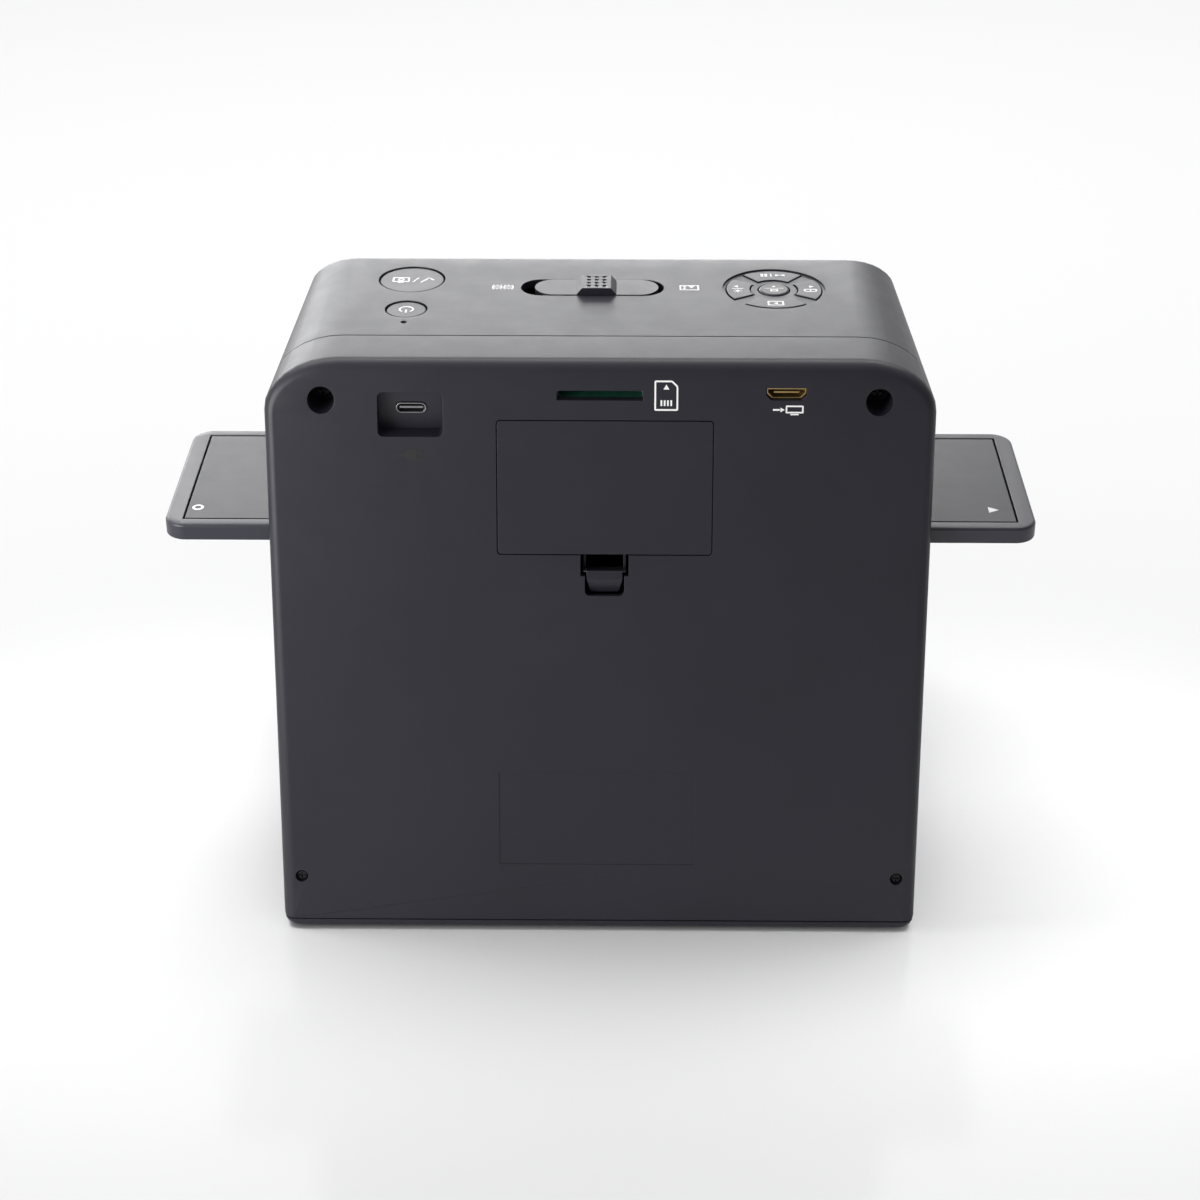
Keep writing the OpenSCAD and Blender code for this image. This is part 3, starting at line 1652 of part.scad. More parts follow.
// Side view of the tongue: its upper half turns up a little, its lower half falls away
module tongue_profile() {
    polygon([[-hollow_h, -rim_bar_sink], [-hollow_h, -latch_deep], [-hollow_h - latch_arm, -latch_deep],
             [-hollow_h - latch_arm, -tongue_t], [-latch_h, -tongue_t], [-latch_h, -tongue_t + tongue_foot_t],
             [-hollow_h - tongue_ridge, -ridge_sink]]);
}

// Battery door with its two hooks and its spring latch
module battery_door() {
    color([0.17, 0.17, 0.19])
        on_face(0, door_x, 0) {
            translate([0, door_mid, -door_t])
                linear_extrude(door_t)
                    round_rect(door_w, door_h, 1);
            for (sx = [-1, 1])
                translate([sx * door_w / 4 - hook_w / 2, door_s - 1, -door_t])
                    cube([hook_w, 1 + hook_reach, hook_t]);
            translate([0, door_foot, 0])
                door_latch();
        }
}

front_shell();
rear_cover();
base_plate();
rubber_feet();
optics_chassis();
upper_case_screws();
lower_case_screws();
base_screws();
chassis_screws();
board_screws();
screen_glass();
lcd_panel();
main_board();
usb_c_socket();
sd_card_socket();
video_socket();
key_board();
key_switches();
status_light();
camera_board();
image_sensor();
lens_barrel();
backlight_panel();
backlight_board();
photo_lamps();
battery_pack();
battery_contacts();
lever_pivot();
lens_lever();
close_up_lens();
film_tray();
film_tray_lid();
photo_tray();
mode_slider();
ok_button();
power_button();
key_centre();
key_up();
key_down();
key_left();
key_right();
battery_door();
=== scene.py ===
"""Looks of a table-top film and print scanner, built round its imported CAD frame.

Each sub-assembly is a class that holds its sizes, shapes its pieces and dresses them.
Lengths are in millimetres in the fields and in metres in the meshes.
"""

import json
import logging
import math
from dataclasses import dataclass, field
from enum import Enum
from typing import Any, Callable, Iterable, Sequence

import bpy
from mathutils import Matrix, Vector
from mathutils.bvhtree import BVHTree

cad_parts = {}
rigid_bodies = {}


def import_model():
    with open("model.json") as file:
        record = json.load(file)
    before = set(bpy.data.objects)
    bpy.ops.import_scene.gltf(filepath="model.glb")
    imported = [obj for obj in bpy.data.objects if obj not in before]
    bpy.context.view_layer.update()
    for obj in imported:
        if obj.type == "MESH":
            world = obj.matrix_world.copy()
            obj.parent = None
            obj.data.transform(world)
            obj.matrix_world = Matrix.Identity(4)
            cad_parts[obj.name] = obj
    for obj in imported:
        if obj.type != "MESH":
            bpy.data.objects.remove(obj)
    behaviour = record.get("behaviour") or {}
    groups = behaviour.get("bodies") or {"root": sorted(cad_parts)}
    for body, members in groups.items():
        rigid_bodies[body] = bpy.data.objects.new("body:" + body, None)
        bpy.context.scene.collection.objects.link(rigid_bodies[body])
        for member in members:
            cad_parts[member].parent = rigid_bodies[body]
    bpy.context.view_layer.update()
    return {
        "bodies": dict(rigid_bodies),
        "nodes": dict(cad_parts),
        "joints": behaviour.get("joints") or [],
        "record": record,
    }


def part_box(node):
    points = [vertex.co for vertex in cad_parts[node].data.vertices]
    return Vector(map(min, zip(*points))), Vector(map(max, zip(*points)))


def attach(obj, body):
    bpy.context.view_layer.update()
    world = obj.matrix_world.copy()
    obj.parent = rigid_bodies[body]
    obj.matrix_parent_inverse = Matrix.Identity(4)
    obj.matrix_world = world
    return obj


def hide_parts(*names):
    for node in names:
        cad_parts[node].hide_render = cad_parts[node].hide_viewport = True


LOG = logging.getLogger("scanner")
MM = 0.001
SHELLS = ("front_shell", "rear_cover", "base_plate")
KEYS = ("ok_button", "power_button", "key_centre", "key_up", "key_down", "key_left", "key_right")
Colour = tuple[float, float, float]
Point = tuple[float, float]
Spot = tuple[float, float, float]
Piece = bpy.types.Object
Socket = bpy.types.NodeSocket

# Range that holds most values of a noise
NOISE_RANGE: Point = (0.3, 0.7)


class Slot(Enum):
    """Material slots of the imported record."""

    HOUSING = "housing_plastic"
    KEY = "key_plastic"
    INNER = "inner_plastic"
    RUBBER = "rubber"
    BLACK_SCREW = "black_screw"
    STEEL = "bright_steel"
    BRASS = "brass"
    BOARD = "circuit_board"
    WHITE_BOARD = "white_board"
    CLEAR = "clear_plastic"
    LENS = "lens_glass"
    SCREEN = "screen_glass"
    DARK = "dark_part"


class Face(Enum):
    """Faces of the scanner that carry printed marks, by the side they are read from."""

    TOP = "read from the front"
    REAR = "read from the rear"
    LID = "on the tray, read from the rear"


class Way(Enum):
    """Ways that a printed triangle can point, by its turn in degrees."""

    UP = 0.0
    LEFT = 90.0
    DOWN = 180.0
    RIGHT = -90.0


class Sum(Enum):
    """Sums in a node tree, by the node that does them and its operation."""

    LARGER = ("ShaderNodeMath", "MAXIMUM")
    PRODUCT = ("ShaderNodeMath", "MULTIPLY")
    FACING = ("ShaderNodeVectorMath", "DOT_PRODUCT")
    LENGTH = ("ShaderNodeVectorMath", "LENGTH")


class Reach(Enum):
    """What a lamp lights, by the state of its link to the table top."""

    ALL = "ALL"
    ALL_BUT_TABLE = "EXCLUDE"
    TABLE_ALONE = "INCLUDE"


# Finishes


class NodeBench:
    """A node tree, with short ways to add and join its nodes."""

    def __init__(self, tree: bpy.types.NodeTree) -> None:
        """Takes the node tree of a material or of the world."""
        self.tree = tree

    def add(self, kind: str, **inputs: Any) -> bpy.types.Node:
        """Adds a node and fills or links its inputs.

        Args:
            kind: Blender's name of the node type.
            **inputs: Value or socket for each input, with spaces written as underscores.

        Returns:
            The new node.
        """
        node = self.tree.nodes.new(kind)
        for name, value in inputs.items():
            self.feed(node.inputs[name.replace("_", " ")], value)
        return node

    def feed(self, socket: Socket, value: Any) -> None:
        """Links a socket to another one, or sets its value.

        Args:
            socket: Input to fill.
            value: Output socket or plain value.
        """
        if isinstance(value, Socket):
            self.tree.links.new(value, socket)
        else:
            socket.default_value = value

    def work_out(self, how: Sum, *values: Any) -> Socket:
        """Works out a number.

        Args:
            how: Sum to do.
            *values: Number, vector or socket for each input.

        Returns:
            The number.
        """
        kind, operation = how.value
        node = self.add(kind)
        node.operation = operation
        for socket, value in zip(node.inputs, values):
            self.feed(socket, value)
        return node.outputs["Value"]

    def remap(self, value: Socket, source: Point, target: Point = (0.0, 1.0)) -> Socket:
        """Maps a range of values onto another one, and holds its ends.

        Args:
            value: Value to map.
            source: Range that it comes from.
            target: Range that it goes to.

        Returns:
            The mapped value.
        """
        node = self.add("ShaderNodeMapRange", Value=value, From_Min=source[0], From_Max=source[1])
        self.feed(node.inputs["To Min"], target[0])
        self.feed(node.inputs["To Max"], target[1])
        return node.outputs["Result"]

    def mix(self, share: Any, first: Socket, second: Socket) -> Socket:
        """Mixes two shaders.

        Args:
            share: Share of the second shader.
            first: First shader.
            second: Second shader.

        Returns:
            The mixed shader.
        """
        node = self.add("ShaderNodeMixShader", Fac=share)
        self.feed(node.inputs[1], first)
        self.feed(node.inputs[2], second)
        return node.outputs["Shader"]

    def seen(self) -> tuple[Socket, Socket]:
        """Tells the rays that show a surface to the camera.

        Returns:
            1 for a ray straight from the camera, and 1 for such a ray or a mirrored or transmitted one.
        """
        path = self.add("ShaderNodeLightPath").outputs
        direct = path["Is Camera Ray"]
        turned = self.work_out(Sum.LARGER, path["Is Glossy Ray"], path["Is Transmission Ray"])
        return direct, self.work_out(Sum.LARGER, direct, turned)


class Bench(NodeBench):
    """A material's node tree, with its principled shader and the steps that finish it."""

    def __init__(self, name: str) -> None:
        """Starts a material with its principled shader.

        Args:
            name: Name of the material.
        """
        self.material = bpy.data.materials.new(name)
        self.material.use_nodes = True
        super().__init__(self.material.node_tree)
        self.shader = self.tree.nodes["Principled BSDF"]
        self.point = self.add("ShaderNodeTexCoord").outputs["Object"]

    def constants(self, **values: Any) -> None:
        """Sets plain values on the shader's inputs, with spaces written as underscores."""
        for name, value in values.items():
            self.shader.inputs[name.replace("_", " ")].default_value = value

    def noise(self, size: float, detail: float = 2.0, stretch: Sequence[float] = (1, 1, 1)) -> Socket:
        """Noise on the piece's own coordinates.

        Args:
            size: Size of one blotch in millimetres.
            detail: Octaves of finer noise.
            stretch: Scale along each axis.

        Returns:
            The noise value, around 0.5.
        """
        mapping = self.add("ShaderNodeMapping", Vector=self.point, Scale=tuple(stretch))
        noise = self.add("ShaderNodeTexNoise", Vector=mapping.outputs["Vector"])
        self.feed(noise.inputs["Scale"], 1 / (size * MM))
        self.feed(noise.inputs["Detail"], detail)
        return noise.outputs["Fac"]

    def spread(self, noise: Socket, low: float, high: float) -> Socket:
        """Number that drifts between two ends with a noise."""
        return self.remap(noise, NOISE_RANGE, (low, high))

    def tint(self, noise: Socket, low: Colour, high: Colour) -> Socket:
        """Colour that drifts between two ends with a noise."""
        return self.ramp(noise, *zip(NOISE_RANGE, (low, high)))

    def ramp(self, factor: Socket, *stops: tuple[float, Colour]) -> Socket:
        """Colour ramp with the given stops.

        Args:
            factor: Value that runs along the ramp.
            *stops: Place and colour of each stop.

        Returns:
            The colour.
        """
        node = self.add("ShaderNodeValToRGB", Fac=factor)
        for element, (place, colour) in zip(node.color_ramp.elements, stops, strict=True):
            element.position = place
            element.color = (*colour, 1.0)
        return node.outputs["Color"]

    def cover(self, colour: Socket, roughness: Socket) -> None:
        """Links the shader's colour and roughness."""
        self.feed(self.shader.inputs["Base Color"], colour)
        self.feed(self.shader.inputs["Roughness"], roughness)

    def bump(self, height: Socket, depth: float, strength: float = 1.0) -> None:
        """Raises the surface by a height of 0 to 1, whose full depth is in millimetres."""
        node = self.add("ShaderNodeBump", Height=height, Distance=depth * MM, Strength=strength)
        self.feed(self.shader.inputs["Normal"], node.outputs["Normal"])


def shade(colour: Colour, factor: float) -> Colour:
    """A colour made darker or lighter by a factor."""
    return tuple(min(1.0, part * factor) for part in colour)


@dataclass(frozen=True)
class Finish:
    """A finish that is made into a material."""

    def make(self, name: str) -> bpy.types.Material:
        """Builds the material.

        Args:
            name: Name of the material.

        Returns:
            The material.
        """
        bench = Bench(name)
        self.lay(bench)
        return bench.material

    def lay(self, bench: Bench) -> None:
        """Lays the finish on a fresh material, each kind in its own way."""
        raise NotImplementedError


@dataclass(frozen=True)
class MouldedPlastic(Finish):
    """Moulded plastic with a spark-eroded grain and a slow drift of tone and gloss."""

    colour: Colour
    roughness: float
    specular: float
    grain: float = 0.22
    depth: float = 0.006
    drift: float = 0.08
    tone_size: float = 45.0
    gloss_size: float = 7.0
    gloss_drift: Point = (0.95, 1.06)

    def lay(self, bench: Bench) -> None:
        """Lays the finish.

        Args:
            bench: Material to lay it on.
        """
        tone = bench.noise(self.tone_size, detail=3)
        gloss = bench.noise(self.gloss_size, detail=4)
        bench.cover(
            bench.tint(tone, shade(self.colour, 1 - self.drift), shade(self.colour, 1 + self.drift)),
            bench.spread(gloss, *(self.roughness * share for share in self.gloss_drift)),
        )
        bench.constants(Specular_IOR_Level=self.specular)
        bench.bump(bench.noise(self.grain), self.depth)


@dataclass(frozen=True)
class PrintedInk(Finish):
    """Screen-printed ink with a faint unevenness."""

    colour: Colour
    roughness: float = 0.5
    grain: float = 0.5
    thin: float = 0.94
    dull: float = 0.1

    def lay(self, bench: Bench) -> None:
        """Lays the finish.

        Args:
            bench: Material to lay it on.
        """
        fine = bench.noise(self.grain)
        bench.cover(
            bench.tint(fine, shade(self.colour, self.thin), self.colour),
            bench.spread(fine, self.roughness, self.roughness + self.dull),
        )


@dataclass(frozen=True)
class PlatedMetal(Finish):
    """Stamped or turned metal with fine rolling lines."""

    colour: Colour
    roughness: float
    metallic: float = 1.0
    line: float = 0.3
    stretch: Spot = (0.15, 1.0, 1.0)
    depth: float = 0.003
    tone_drift: Point = (0.88, 1.05)
    gloss_size: float = 0.8
    gloss_drift: Point = (0.85, 1.2)

    def lay(self, bench: Bench) -> None:
        """Lays the finish.

        Args:
            bench: Material to lay it on.
        """
        lines = bench.noise(self.line, detail=3, stretch=self.stretch)
        gloss = bench.noise(self.gloss_size, detail=3)
        bench.cover(
            bench.tint(lines, *(shade(self.colour, share) for share in self.tone_drift)),
            bench.spread(gloss, *(self.roughness * share for share in self.gloss_drift)),
        )
        bench.constants(Metallic=self.metallic)
        bench.bump(lines, self.depth)


@dataclass(frozen=True)
class SolderMask(Finish):
    """Circuit board: mask over copper runs that show as paler lines."""

    mask: Colour
    run: Colour
    pitch: float = 2.4
    run_width: float = 0.07
    depth: float = 0.01
    relief: float = 0.4
    gloss_size: float = 3.0
    gloss: Point = (0.28, 0.4)

    def lay(self, bench: Bench) -> None:
        """Lays the finish.

        Args:
            bench: Material to lay it on.
        """
        cells = bench.add("ShaderNodeTexVoronoi", Vector=bench.point, Scale=1 / (self.pitch * MM))
        cells.distance = "MANHATTAN"
        cells.feature = "DISTANCE_TO_EDGE"
        edge = cells.outputs["Distance"]
        bench.cover(
            bench.ramp(edge, (0.0, self.run), (self.run_width, self.mask)),
            bench.spread(bench.noise(self.gloss_size), *self.gloss),
        )
        bench.bump(edge, self.depth, self.relief)


@dataclass(frozen=True)
class SoftRubber(Finish):
    """Rubber with a dull bloom."""

    colour: Colour
    specular: float = 0.3
    grain: float = 0.3
    depth: float = 0.02
    bloom_size: float = 2.5
    tone_drift: Point = (0.8, 1.4)
    gloss: Point = (0.75, 0.92)

    def lay(self, bench: Bench) -> None:
        """Lays the finish.

        Args:
            bench: Material to lay it on.
        """
        bloom = bench.noise(self.bloom_size, detail=4)
        bench.cover(
            bench.tint(bloom, *(shade(self.colour, share) for share in self.tone_drift)),
            bench.spread(bloom, *self.gloss),
        )
        bench.constants(Specular_IOR_Level=self.specular)
        bench.bump(bench.noise(self.grain), self.depth)


@dataclass(frozen=True)
class ClearPart(Finish):
    """Clear plastic or glass with faint dust on it."""

    colour: Colour
    roughness: float
    ior: float
    transmission: float
    dust_size: float = 1.5
    dusty: float = 0.96
    dull: float = 0.04

    def lay(self, bench: Bench) -> None:
        """Lays the finish.

        Args:
            bench: Material to lay it on.
        """
        dust = bench.noise(self.dust_size, detail=4)
        bench.cover(
            bench.tint(dust, shade(self.colour, self.dusty), self.colour),
            bench.spread(dust, self.roughness, self.roughness + self.dull),
        )
        bench.constants(IOR=self.ior, Transmission_Weight=self.transmission)


@dataclass(frozen=True)
class ScreenPanel(Finish):
    """Black-printed cover glass over a dark display."""

    colour: Colour
    ior: float = 1.42
    tone_size: float = 30.0
    lift: float = 1.25
    smear_size: float = 12.0
    gloss: Point = (0.05, 0.09)

    def lay(self, bench: Bench) -> None:
        """Lays the finish.

        Args:
            bench: Material to lay it on.
        """
        tone = bench.noise(self.tone_size)
        smear = bench.noise(self.smear_size, detail=5)
        bench.cover(
            bench.tint(tone, self.colour, shade(self.colour, self.lift)),
            bench.spread(smear, *self.gloss),
        )
        bench.constants(IOR=self.ior)


CHARCOAL: Colour = (0.0134, 0.013, 0.0198)
FINISHES: dict[Slot, Finish] = {
    Slot.HOUSING: MouldedPlastic(CHARCOAL, roughness=0.43, specular=0.38),
    Slot.KEY: MouldedPlastic(shade(CHARCOAL, 1.05), roughness=0.42, specular=0.42, grain=0.15, depth=0.004),
    Slot.INNER: MouldedPlastic((0.018, 0.018, 0.019), roughness=0.6, specular=0.3),
    Slot.RUBBER: SoftRubber((0.016, 0.016, 0.017)),
    Slot.BLACK_SCREW: PlatedMetal((0.014, 0.014, 0.015), roughness=0.5, metallic=0.4),
    Slot.STEEL: PlatedMetal((0.62, 0.62, 0.64), roughness=0.3),
    Slot.BRASS: PlatedMetal((0.72, 0.56, 0.28), roughness=0.28),
    Slot.BOARD: SolderMask(mask=(0.01, 0.09, 0.055), run=(0.02, 0.15, 0.085)),
    Slot.WHITE_BOARD: SolderMask(mask=(0.8, 0.8, 0.76), run=(0.72, 0.72, 0.66), pitch=4.0),
    Slot.CLEAR: ClearPart((0.85, 0.88, 0.9), roughness=0.12, ior=1.49, transmission=0.5),
    Slot.LENS: ClearPart((0.8, 0.85, 0.88), roughness=0.02, ior=1.52, transmission=0.95),
    Slot.SCREEN: ScreenPanel((0.006, 0.006, 0.008)),
    Slot.DARK: MouldedPlastic((0.05, 0.055, 0.062), roughness=0.5, specular=0.4),
}
WHITE_INK = PrintedInk((0.84, 0.84, 0.83))
SMOKED_LENS = MouldedPlastic(shade(CHARCOAL, 1.4), roughness=0.35, specular=0.5)
TRAY_PLASTIC = MouldedPlastic(shade(CHARCOAL, 1.6), roughness=0.4, specular=0.5)
SOCKET_SHELL = PlatedMetal((0.3, 0.3, 0.31), roughness=0.36)
DULL_GILT = PlatedMetal((0.42, 0.3, 0.13), roughness=0.42)


# Work on meshes


def select_only(*pieces: Piece) -> None:
    """Leaves just some objects selected.

    Args:
        *pieces: Objects to select, of which the first becomes active.
    """
    bpy.ops.object.select_all(action="DESELECT")
    for piece in pieces:
        piece.select_set(True)
    bpy.context.view_layer.objects.active = pieces[0]


def edit_picked(piece: Piece, *steps: Callable[[], Any]) -> None:
    """Runs edit-mode steps on the parts of a mesh that were picked in code.

    Args:
        piece: Object to edit.
        *steps: Calls made in edit mode.
    """
    select_only(piece)
    bpy.ops.object.mode_set(mode="EDIT")
    for step in steps:
        step()
    bpy.ops.object.mode_set(mode="OBJECT")


def edit(piece: Piece, *steps: Callable[[], Any]) -> None:
    """Runs edit-mode steps on a whole mesh.

    Args:
        piece: Object to edit.
        *steps: Calls made in edit mode, with everything selected at first.
    """
    edit_picked(
        piece,
        lambda: bpy.ops.mesh.select_mode(type="FACE"),
        lambda: bpy.ops.mesh.select_all(action="SELECT"),
        *steps,
    )


def apply_modifier(piece: Piece, kind: str, **settings: Any) -> None:
    """Adds a modifier to a piece and applies it.

    Args:
        piece: Object to change.
        kind: Blender's name of the modifier.
        **settings: Its settings.
    """
    modifier = piece.modifiers.new(kind.lower(), kind)
    for name, value in settings.items():
        setattr(modifier, name, value)
    select_only(piece)
    bpy.ops.object.modifier_apply(modifier=modifier.name)


@dataclass
class Workshop:
    """What every sub-assembly needs: the frame, the finishes and the ways to round a node.

    Attributes:
        frame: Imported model, as it was loaded.
        sharp: Least angle of an edge that is rounded or shows as an edge, in degrees.
        merge: Distance within which doubled points become one.
        level: Greatest angle between faces that are taken as one, in degrees.
        probe: Step off an edge before the look for what covers it.
        stray: Share of a rounding's width by which its points may leave the CAD surface.
        segments: Faces across a rounding.
        made: Names of the finished pieces.
    """

    frame: dict[str, Any]
    sharp: float = 32.0
    merge: float = 0.002
    level: float = 0.4
    probe: float = 0.05
    stray: float = 0.5
    segments: int = 2
    made: list[str] = field(default_factory=list)

    def __post_init__(self) -> None:
        """Builds the finishes and notes each node's body and slot."""
        self.finishes = {slot: finish.make(slot.value) for slot, finish in FINISHES.items()}
        self.ink = WHITE_INK.make("white_ink")
        self.special = {
            "status_light": SMOKED_LENS.make("smoked_lens"),
            "usb_c_socket": SOCKET_SHELL.make("socket_shell"),
            "video_socket": DULL_GILT.make("dull_gilt"),
            "film_tray": TRAY_PLASTIC.make("tray_plastic"),
        }
        bodies = self.frame["record"]["behaviour"]["bodies"]
        self.body = {node: body for body, nodes in bodies.items() for node in nodes}
        self.slot = {part["node"]: Slot(part["material_slot"]) for part in self.frame["record"]["subparts"]}

    def dress_nodes(self) -> None:
        """Gives every CAD node its own finish or that of its slot."""
        for name, node in self.frame["nodes"].items():
            node.data.materials.clear()
            node.data.materials.append(self.special.get(name, self.finishes[self.slot[name]]))

    def keep(self, piece: Piece, body: str, slot: Slot, *replaced: str) -> Piece:
        """Fixes a finished piece to its body.

        Args:
            piece: Finished object.
            body: Body that it rides on.
            slot: Material slot that it belongs to; not used.
            *replaced: CAD nodes that it stands for.

        Returns:
            The piece.
        """
        if replaced:
            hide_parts(*replaced)
        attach(piece, body)
        self.made.append(piece.name)
        LOG.info("piece %s rides on %s", piece.name, body)
        return piece

    def surface(self, *nodes: str) -> BVHTree:
        """Makes the faces of some CAD nodes searchable.

        Args:
            *nodes: Names of the nodes.

        Returns:
            The search tree.
        """
        points: list[Vector] = []
        faces: list[tuple[int, ...]] = []
        for mesh in (self.frame["nodes"][node].data for node in nodes):
            faces += [tuple(len(points) + index for index in face.vertices) for face in mesh.polygons]
            points += [vertex.co for vertex in mesh.vertices]
        return BVHTree.FromPolygons(points, faces)

    def pull_back(self, piece: Piece, node: str, width: float) -> None:
        """Lays points that a rounding threw off the CAD surface back onto it.

        Args:
            piece: Rounded copy.
            node: CAD node that it was copied from.
            width: Width of the rounding.
        """
        surface = self.surface(node)
        for vertex in piece.data.vertices:
            spot, _, _, away = surface.find_nearest(vertex.co)
            if away > self.stray * width * MM:
                vertex.co = spot

    def mark_edges(self, mesh: bpy.types.Mesh, around: BVHTree) -> None:
        """Marks for rounding the sharp outer edges that nothing covers.

        Args:
            mesh: Mesh to mark.
            around: Surfaces that can cover an edge.
        """
        sides: dict[tuple[int, int], list[bpy.types.MeshPolygon]] = {}
        for face in mesh.polygons:
            for key in face.edge_keys:
                sides.setdefault(key, []).append(face)
        weights = mesh.attributes.new("bevel_weight_edge", "FLOAT", "EDGE")
        for edge, weight in zip(mesh.edges, weights.data):
            first, second = sides[edge.key]
            middle = (mesh.vertices[edge.vertices[0]].co + mesh.vertices[edge.vertices[1]].co) / 2
            outer = first.normal.dot(second.center - middle) < 0
            if outer and math.degrees(first.normal.angle(second.normal)) > self.sharp:
                way = (first.normal + second.normal).normalized()
                weight.value = float(around.ray_cast(middle + way * self.probe * MM, way)[0] is None)

    def soften(self, node: str, width: float, *around: str) -> Piece:
        """Stands a copy with rounded edges in for a CAD node.

        Args:
            node: Name of the node.
            width: Width of the rounding.
            *around: Other nodes that cover inner edges of this one.

        Returns:
            The copy.
        """
        source = self.frame["nodes"][node]
        piece = bpy.data.objects.new(f"{node}_moulded", source.data.copy())
        bpy.context.scene.collection.objects.link(piece)
        edit(
            piece,
            lambda: bpy.ops.mesh.customdata_custom_splitnormals_clear(),
            lambda: bpy.ops.mesh.remove_doubles(threshold=self.merge * MM),
            lambda: bpy.ops.mesh.dissolve_limited(angle_limit=math.radians(self.level)),
            lambda: bpy.ops.mesh.vert_connect_concave(),
        )
        self.mark_edges(piece.data, self.surface(node, *around))
        apply_modifier(
            piece,
            "BEVEL",
            width=width * MM,
            segments=self.segments,
            limit_method="WEIGHT",
            use_clamp_overlap=False,
            loop_slide=False,
            miter_outer="MITER_ARC",
        )
        self.pull_back(piece, node, width)
        select_only(piece)
        bpy.ops.object.shade_smooth_by_angle(angle=math.radians(self.sharp))
        apply_modifier(piece, "WEIGHTED_NORMAL", keep_sharp=True)
        return self.keep(piece, self.body[node], self.slot[node], node)


# Printed marks


@dataclass
class Ink:
    """One printed mark, drawn part by part in its own flat frame and then laid on a face."""

    shop: Workshop
    name: str
    place: Matrix
    parts: list[Piece] = field(default_factory=list)

    def take(self, turn: float = 0.0) -> Piece:
        """Takes the primitive just added as a part of the mark, with its place in its mesh.

        Args:
            turn: Turn about the part's own middle in degrees.

        Returns:
            The part.
        """
        part = bpy.context.active_object
        part.rotation_euler.z = math.radians(turn)
        select_only(part)
        bpy.ops.object.transform_apply(location=True, rotation=True, scale=True)
        self.parts.append(part)
        return part

    def bar(self, at: Point, size: Point, turn: float = 0.0) -> Piece:
        """A filled bar.

        Args:
            at: Its middle.
            size: Its width and height.
            turn: Its turn in degrees.

        Returns:
            The part.
        """
        bpy.ops.mesh.primitive_plane_add(size=1, location=(at[0] * MM, at[1] * MM, 0))
        bpy.context.active_object.scale = (size[0] * MM, size[1] * MM, 1)
        return self.take(turn)

    def disc(self, at: Point, radius: float, sides: int = 28, turn: float = 0.0, tall: float = 1.0) -> Piece:
        """A filled disc.

        Args:
            at: Its middle.
            radius: Its radius.
            sides: Its number of sides.
            turn: Its turn in degrees.
            tall: Its height as a share of the round height.

        Returns:
            The part.
        """
        bpy.ops.mesh.primitive_circle_add(
            vertices=sides,
            radius=radius * MM,
            fill_type="NGON",
            location=(at[0] * MM, at[1] * MM, 0),
        )
        bpy.context.active_object.scale.y = tall
        return self.take(turn)

    def triangle(self, at: Point, radius: float, way: Way = Way.UP, tall: float = 1.0) -> Piece:
        """A filled triangle inside a circle, which points one way."""
        return self.disc(at, radius, 3, way.value, tall)

    def hollow(self, part: Piece, line: float, gap: float = 0.0) -> None:
        """Leaves only the outline of a part.

        Args:
            part: Filled part.
            line: Width of the outline.
            gap: Half of the opening at its upper side, in degrees.
        """
        edit(part, lambda: bpy.ops.mesh.inset(thickness=line * MM), lambda: bpy.ops.mesh.delete(type="FACE"))
        if gap:
            self.open_top(part, gap)

    def open_top(self, part: Piece, gap: float) -> None:
        """Opens a ring at its upper side.

        Args:
            part: Ring made by hollow.
            gap: Half of the opening in degrees.
        """
        middle = sum((v.co for v in part.data.vertices), Vector()) / len(part.data.vertices)
        edit(part, lambda: bpy.ops.mesh.select_all(action="DESELECT"))
        for face in part.data.polygons:
            away = face.center - middle
            face.select = abs(math.degrees(math.atan2(away.x, away.y))) < gap
        edit_picked(part, lambda: bpy.ops.mesh.delete(type="FACE"))

    def round_corners(self, part: Piece, radius: float, segments: int = 4) -> Piece:
        """Rounds all corners of a filled part and gives it back."""
        edit(part, lambda: bpy.ops.mesh.bevel(offset=radius * MM, segments=segments, affect="VERTICES"))
        return part

    def lay(self, body: str, slot: Slot, finish: bpy.types.Material, rise: float = 0.05) -> Piece:
        """Joins the parts, gives them thickness and lays the mark on its face.

        Args:
            body: Body that the mark rides on.
            slot: Material slot that it belongs to.
            finish: Its material.
            rise: Thickness of the ink.

        Returns:
            The finished mark.
        """
        select_only(*self.parts)
        bpy.ops.object.join()
        mark = bpy.context.active_object
        up = {"value": (0, 0, rise * MM)}
        edit(
            mark,
            lambda: bpy.ops.mesh.normals_make_consistent(inside=False),
            lambda: bpy.ops.mesh.extrude_region_move(TRANSFORM_OT_translate=up),
            lambda: bpy.ops.mesh.select_all(action="SELECT"),
            lambda: bpy.ops.mesh.normals_make_consistent(inside=False),
        )
        mark.name = self.name
        mark.data.transform(self.place)
        mark.data.materials.append(finish)
        return self.shop.keep(mark, body, slot)


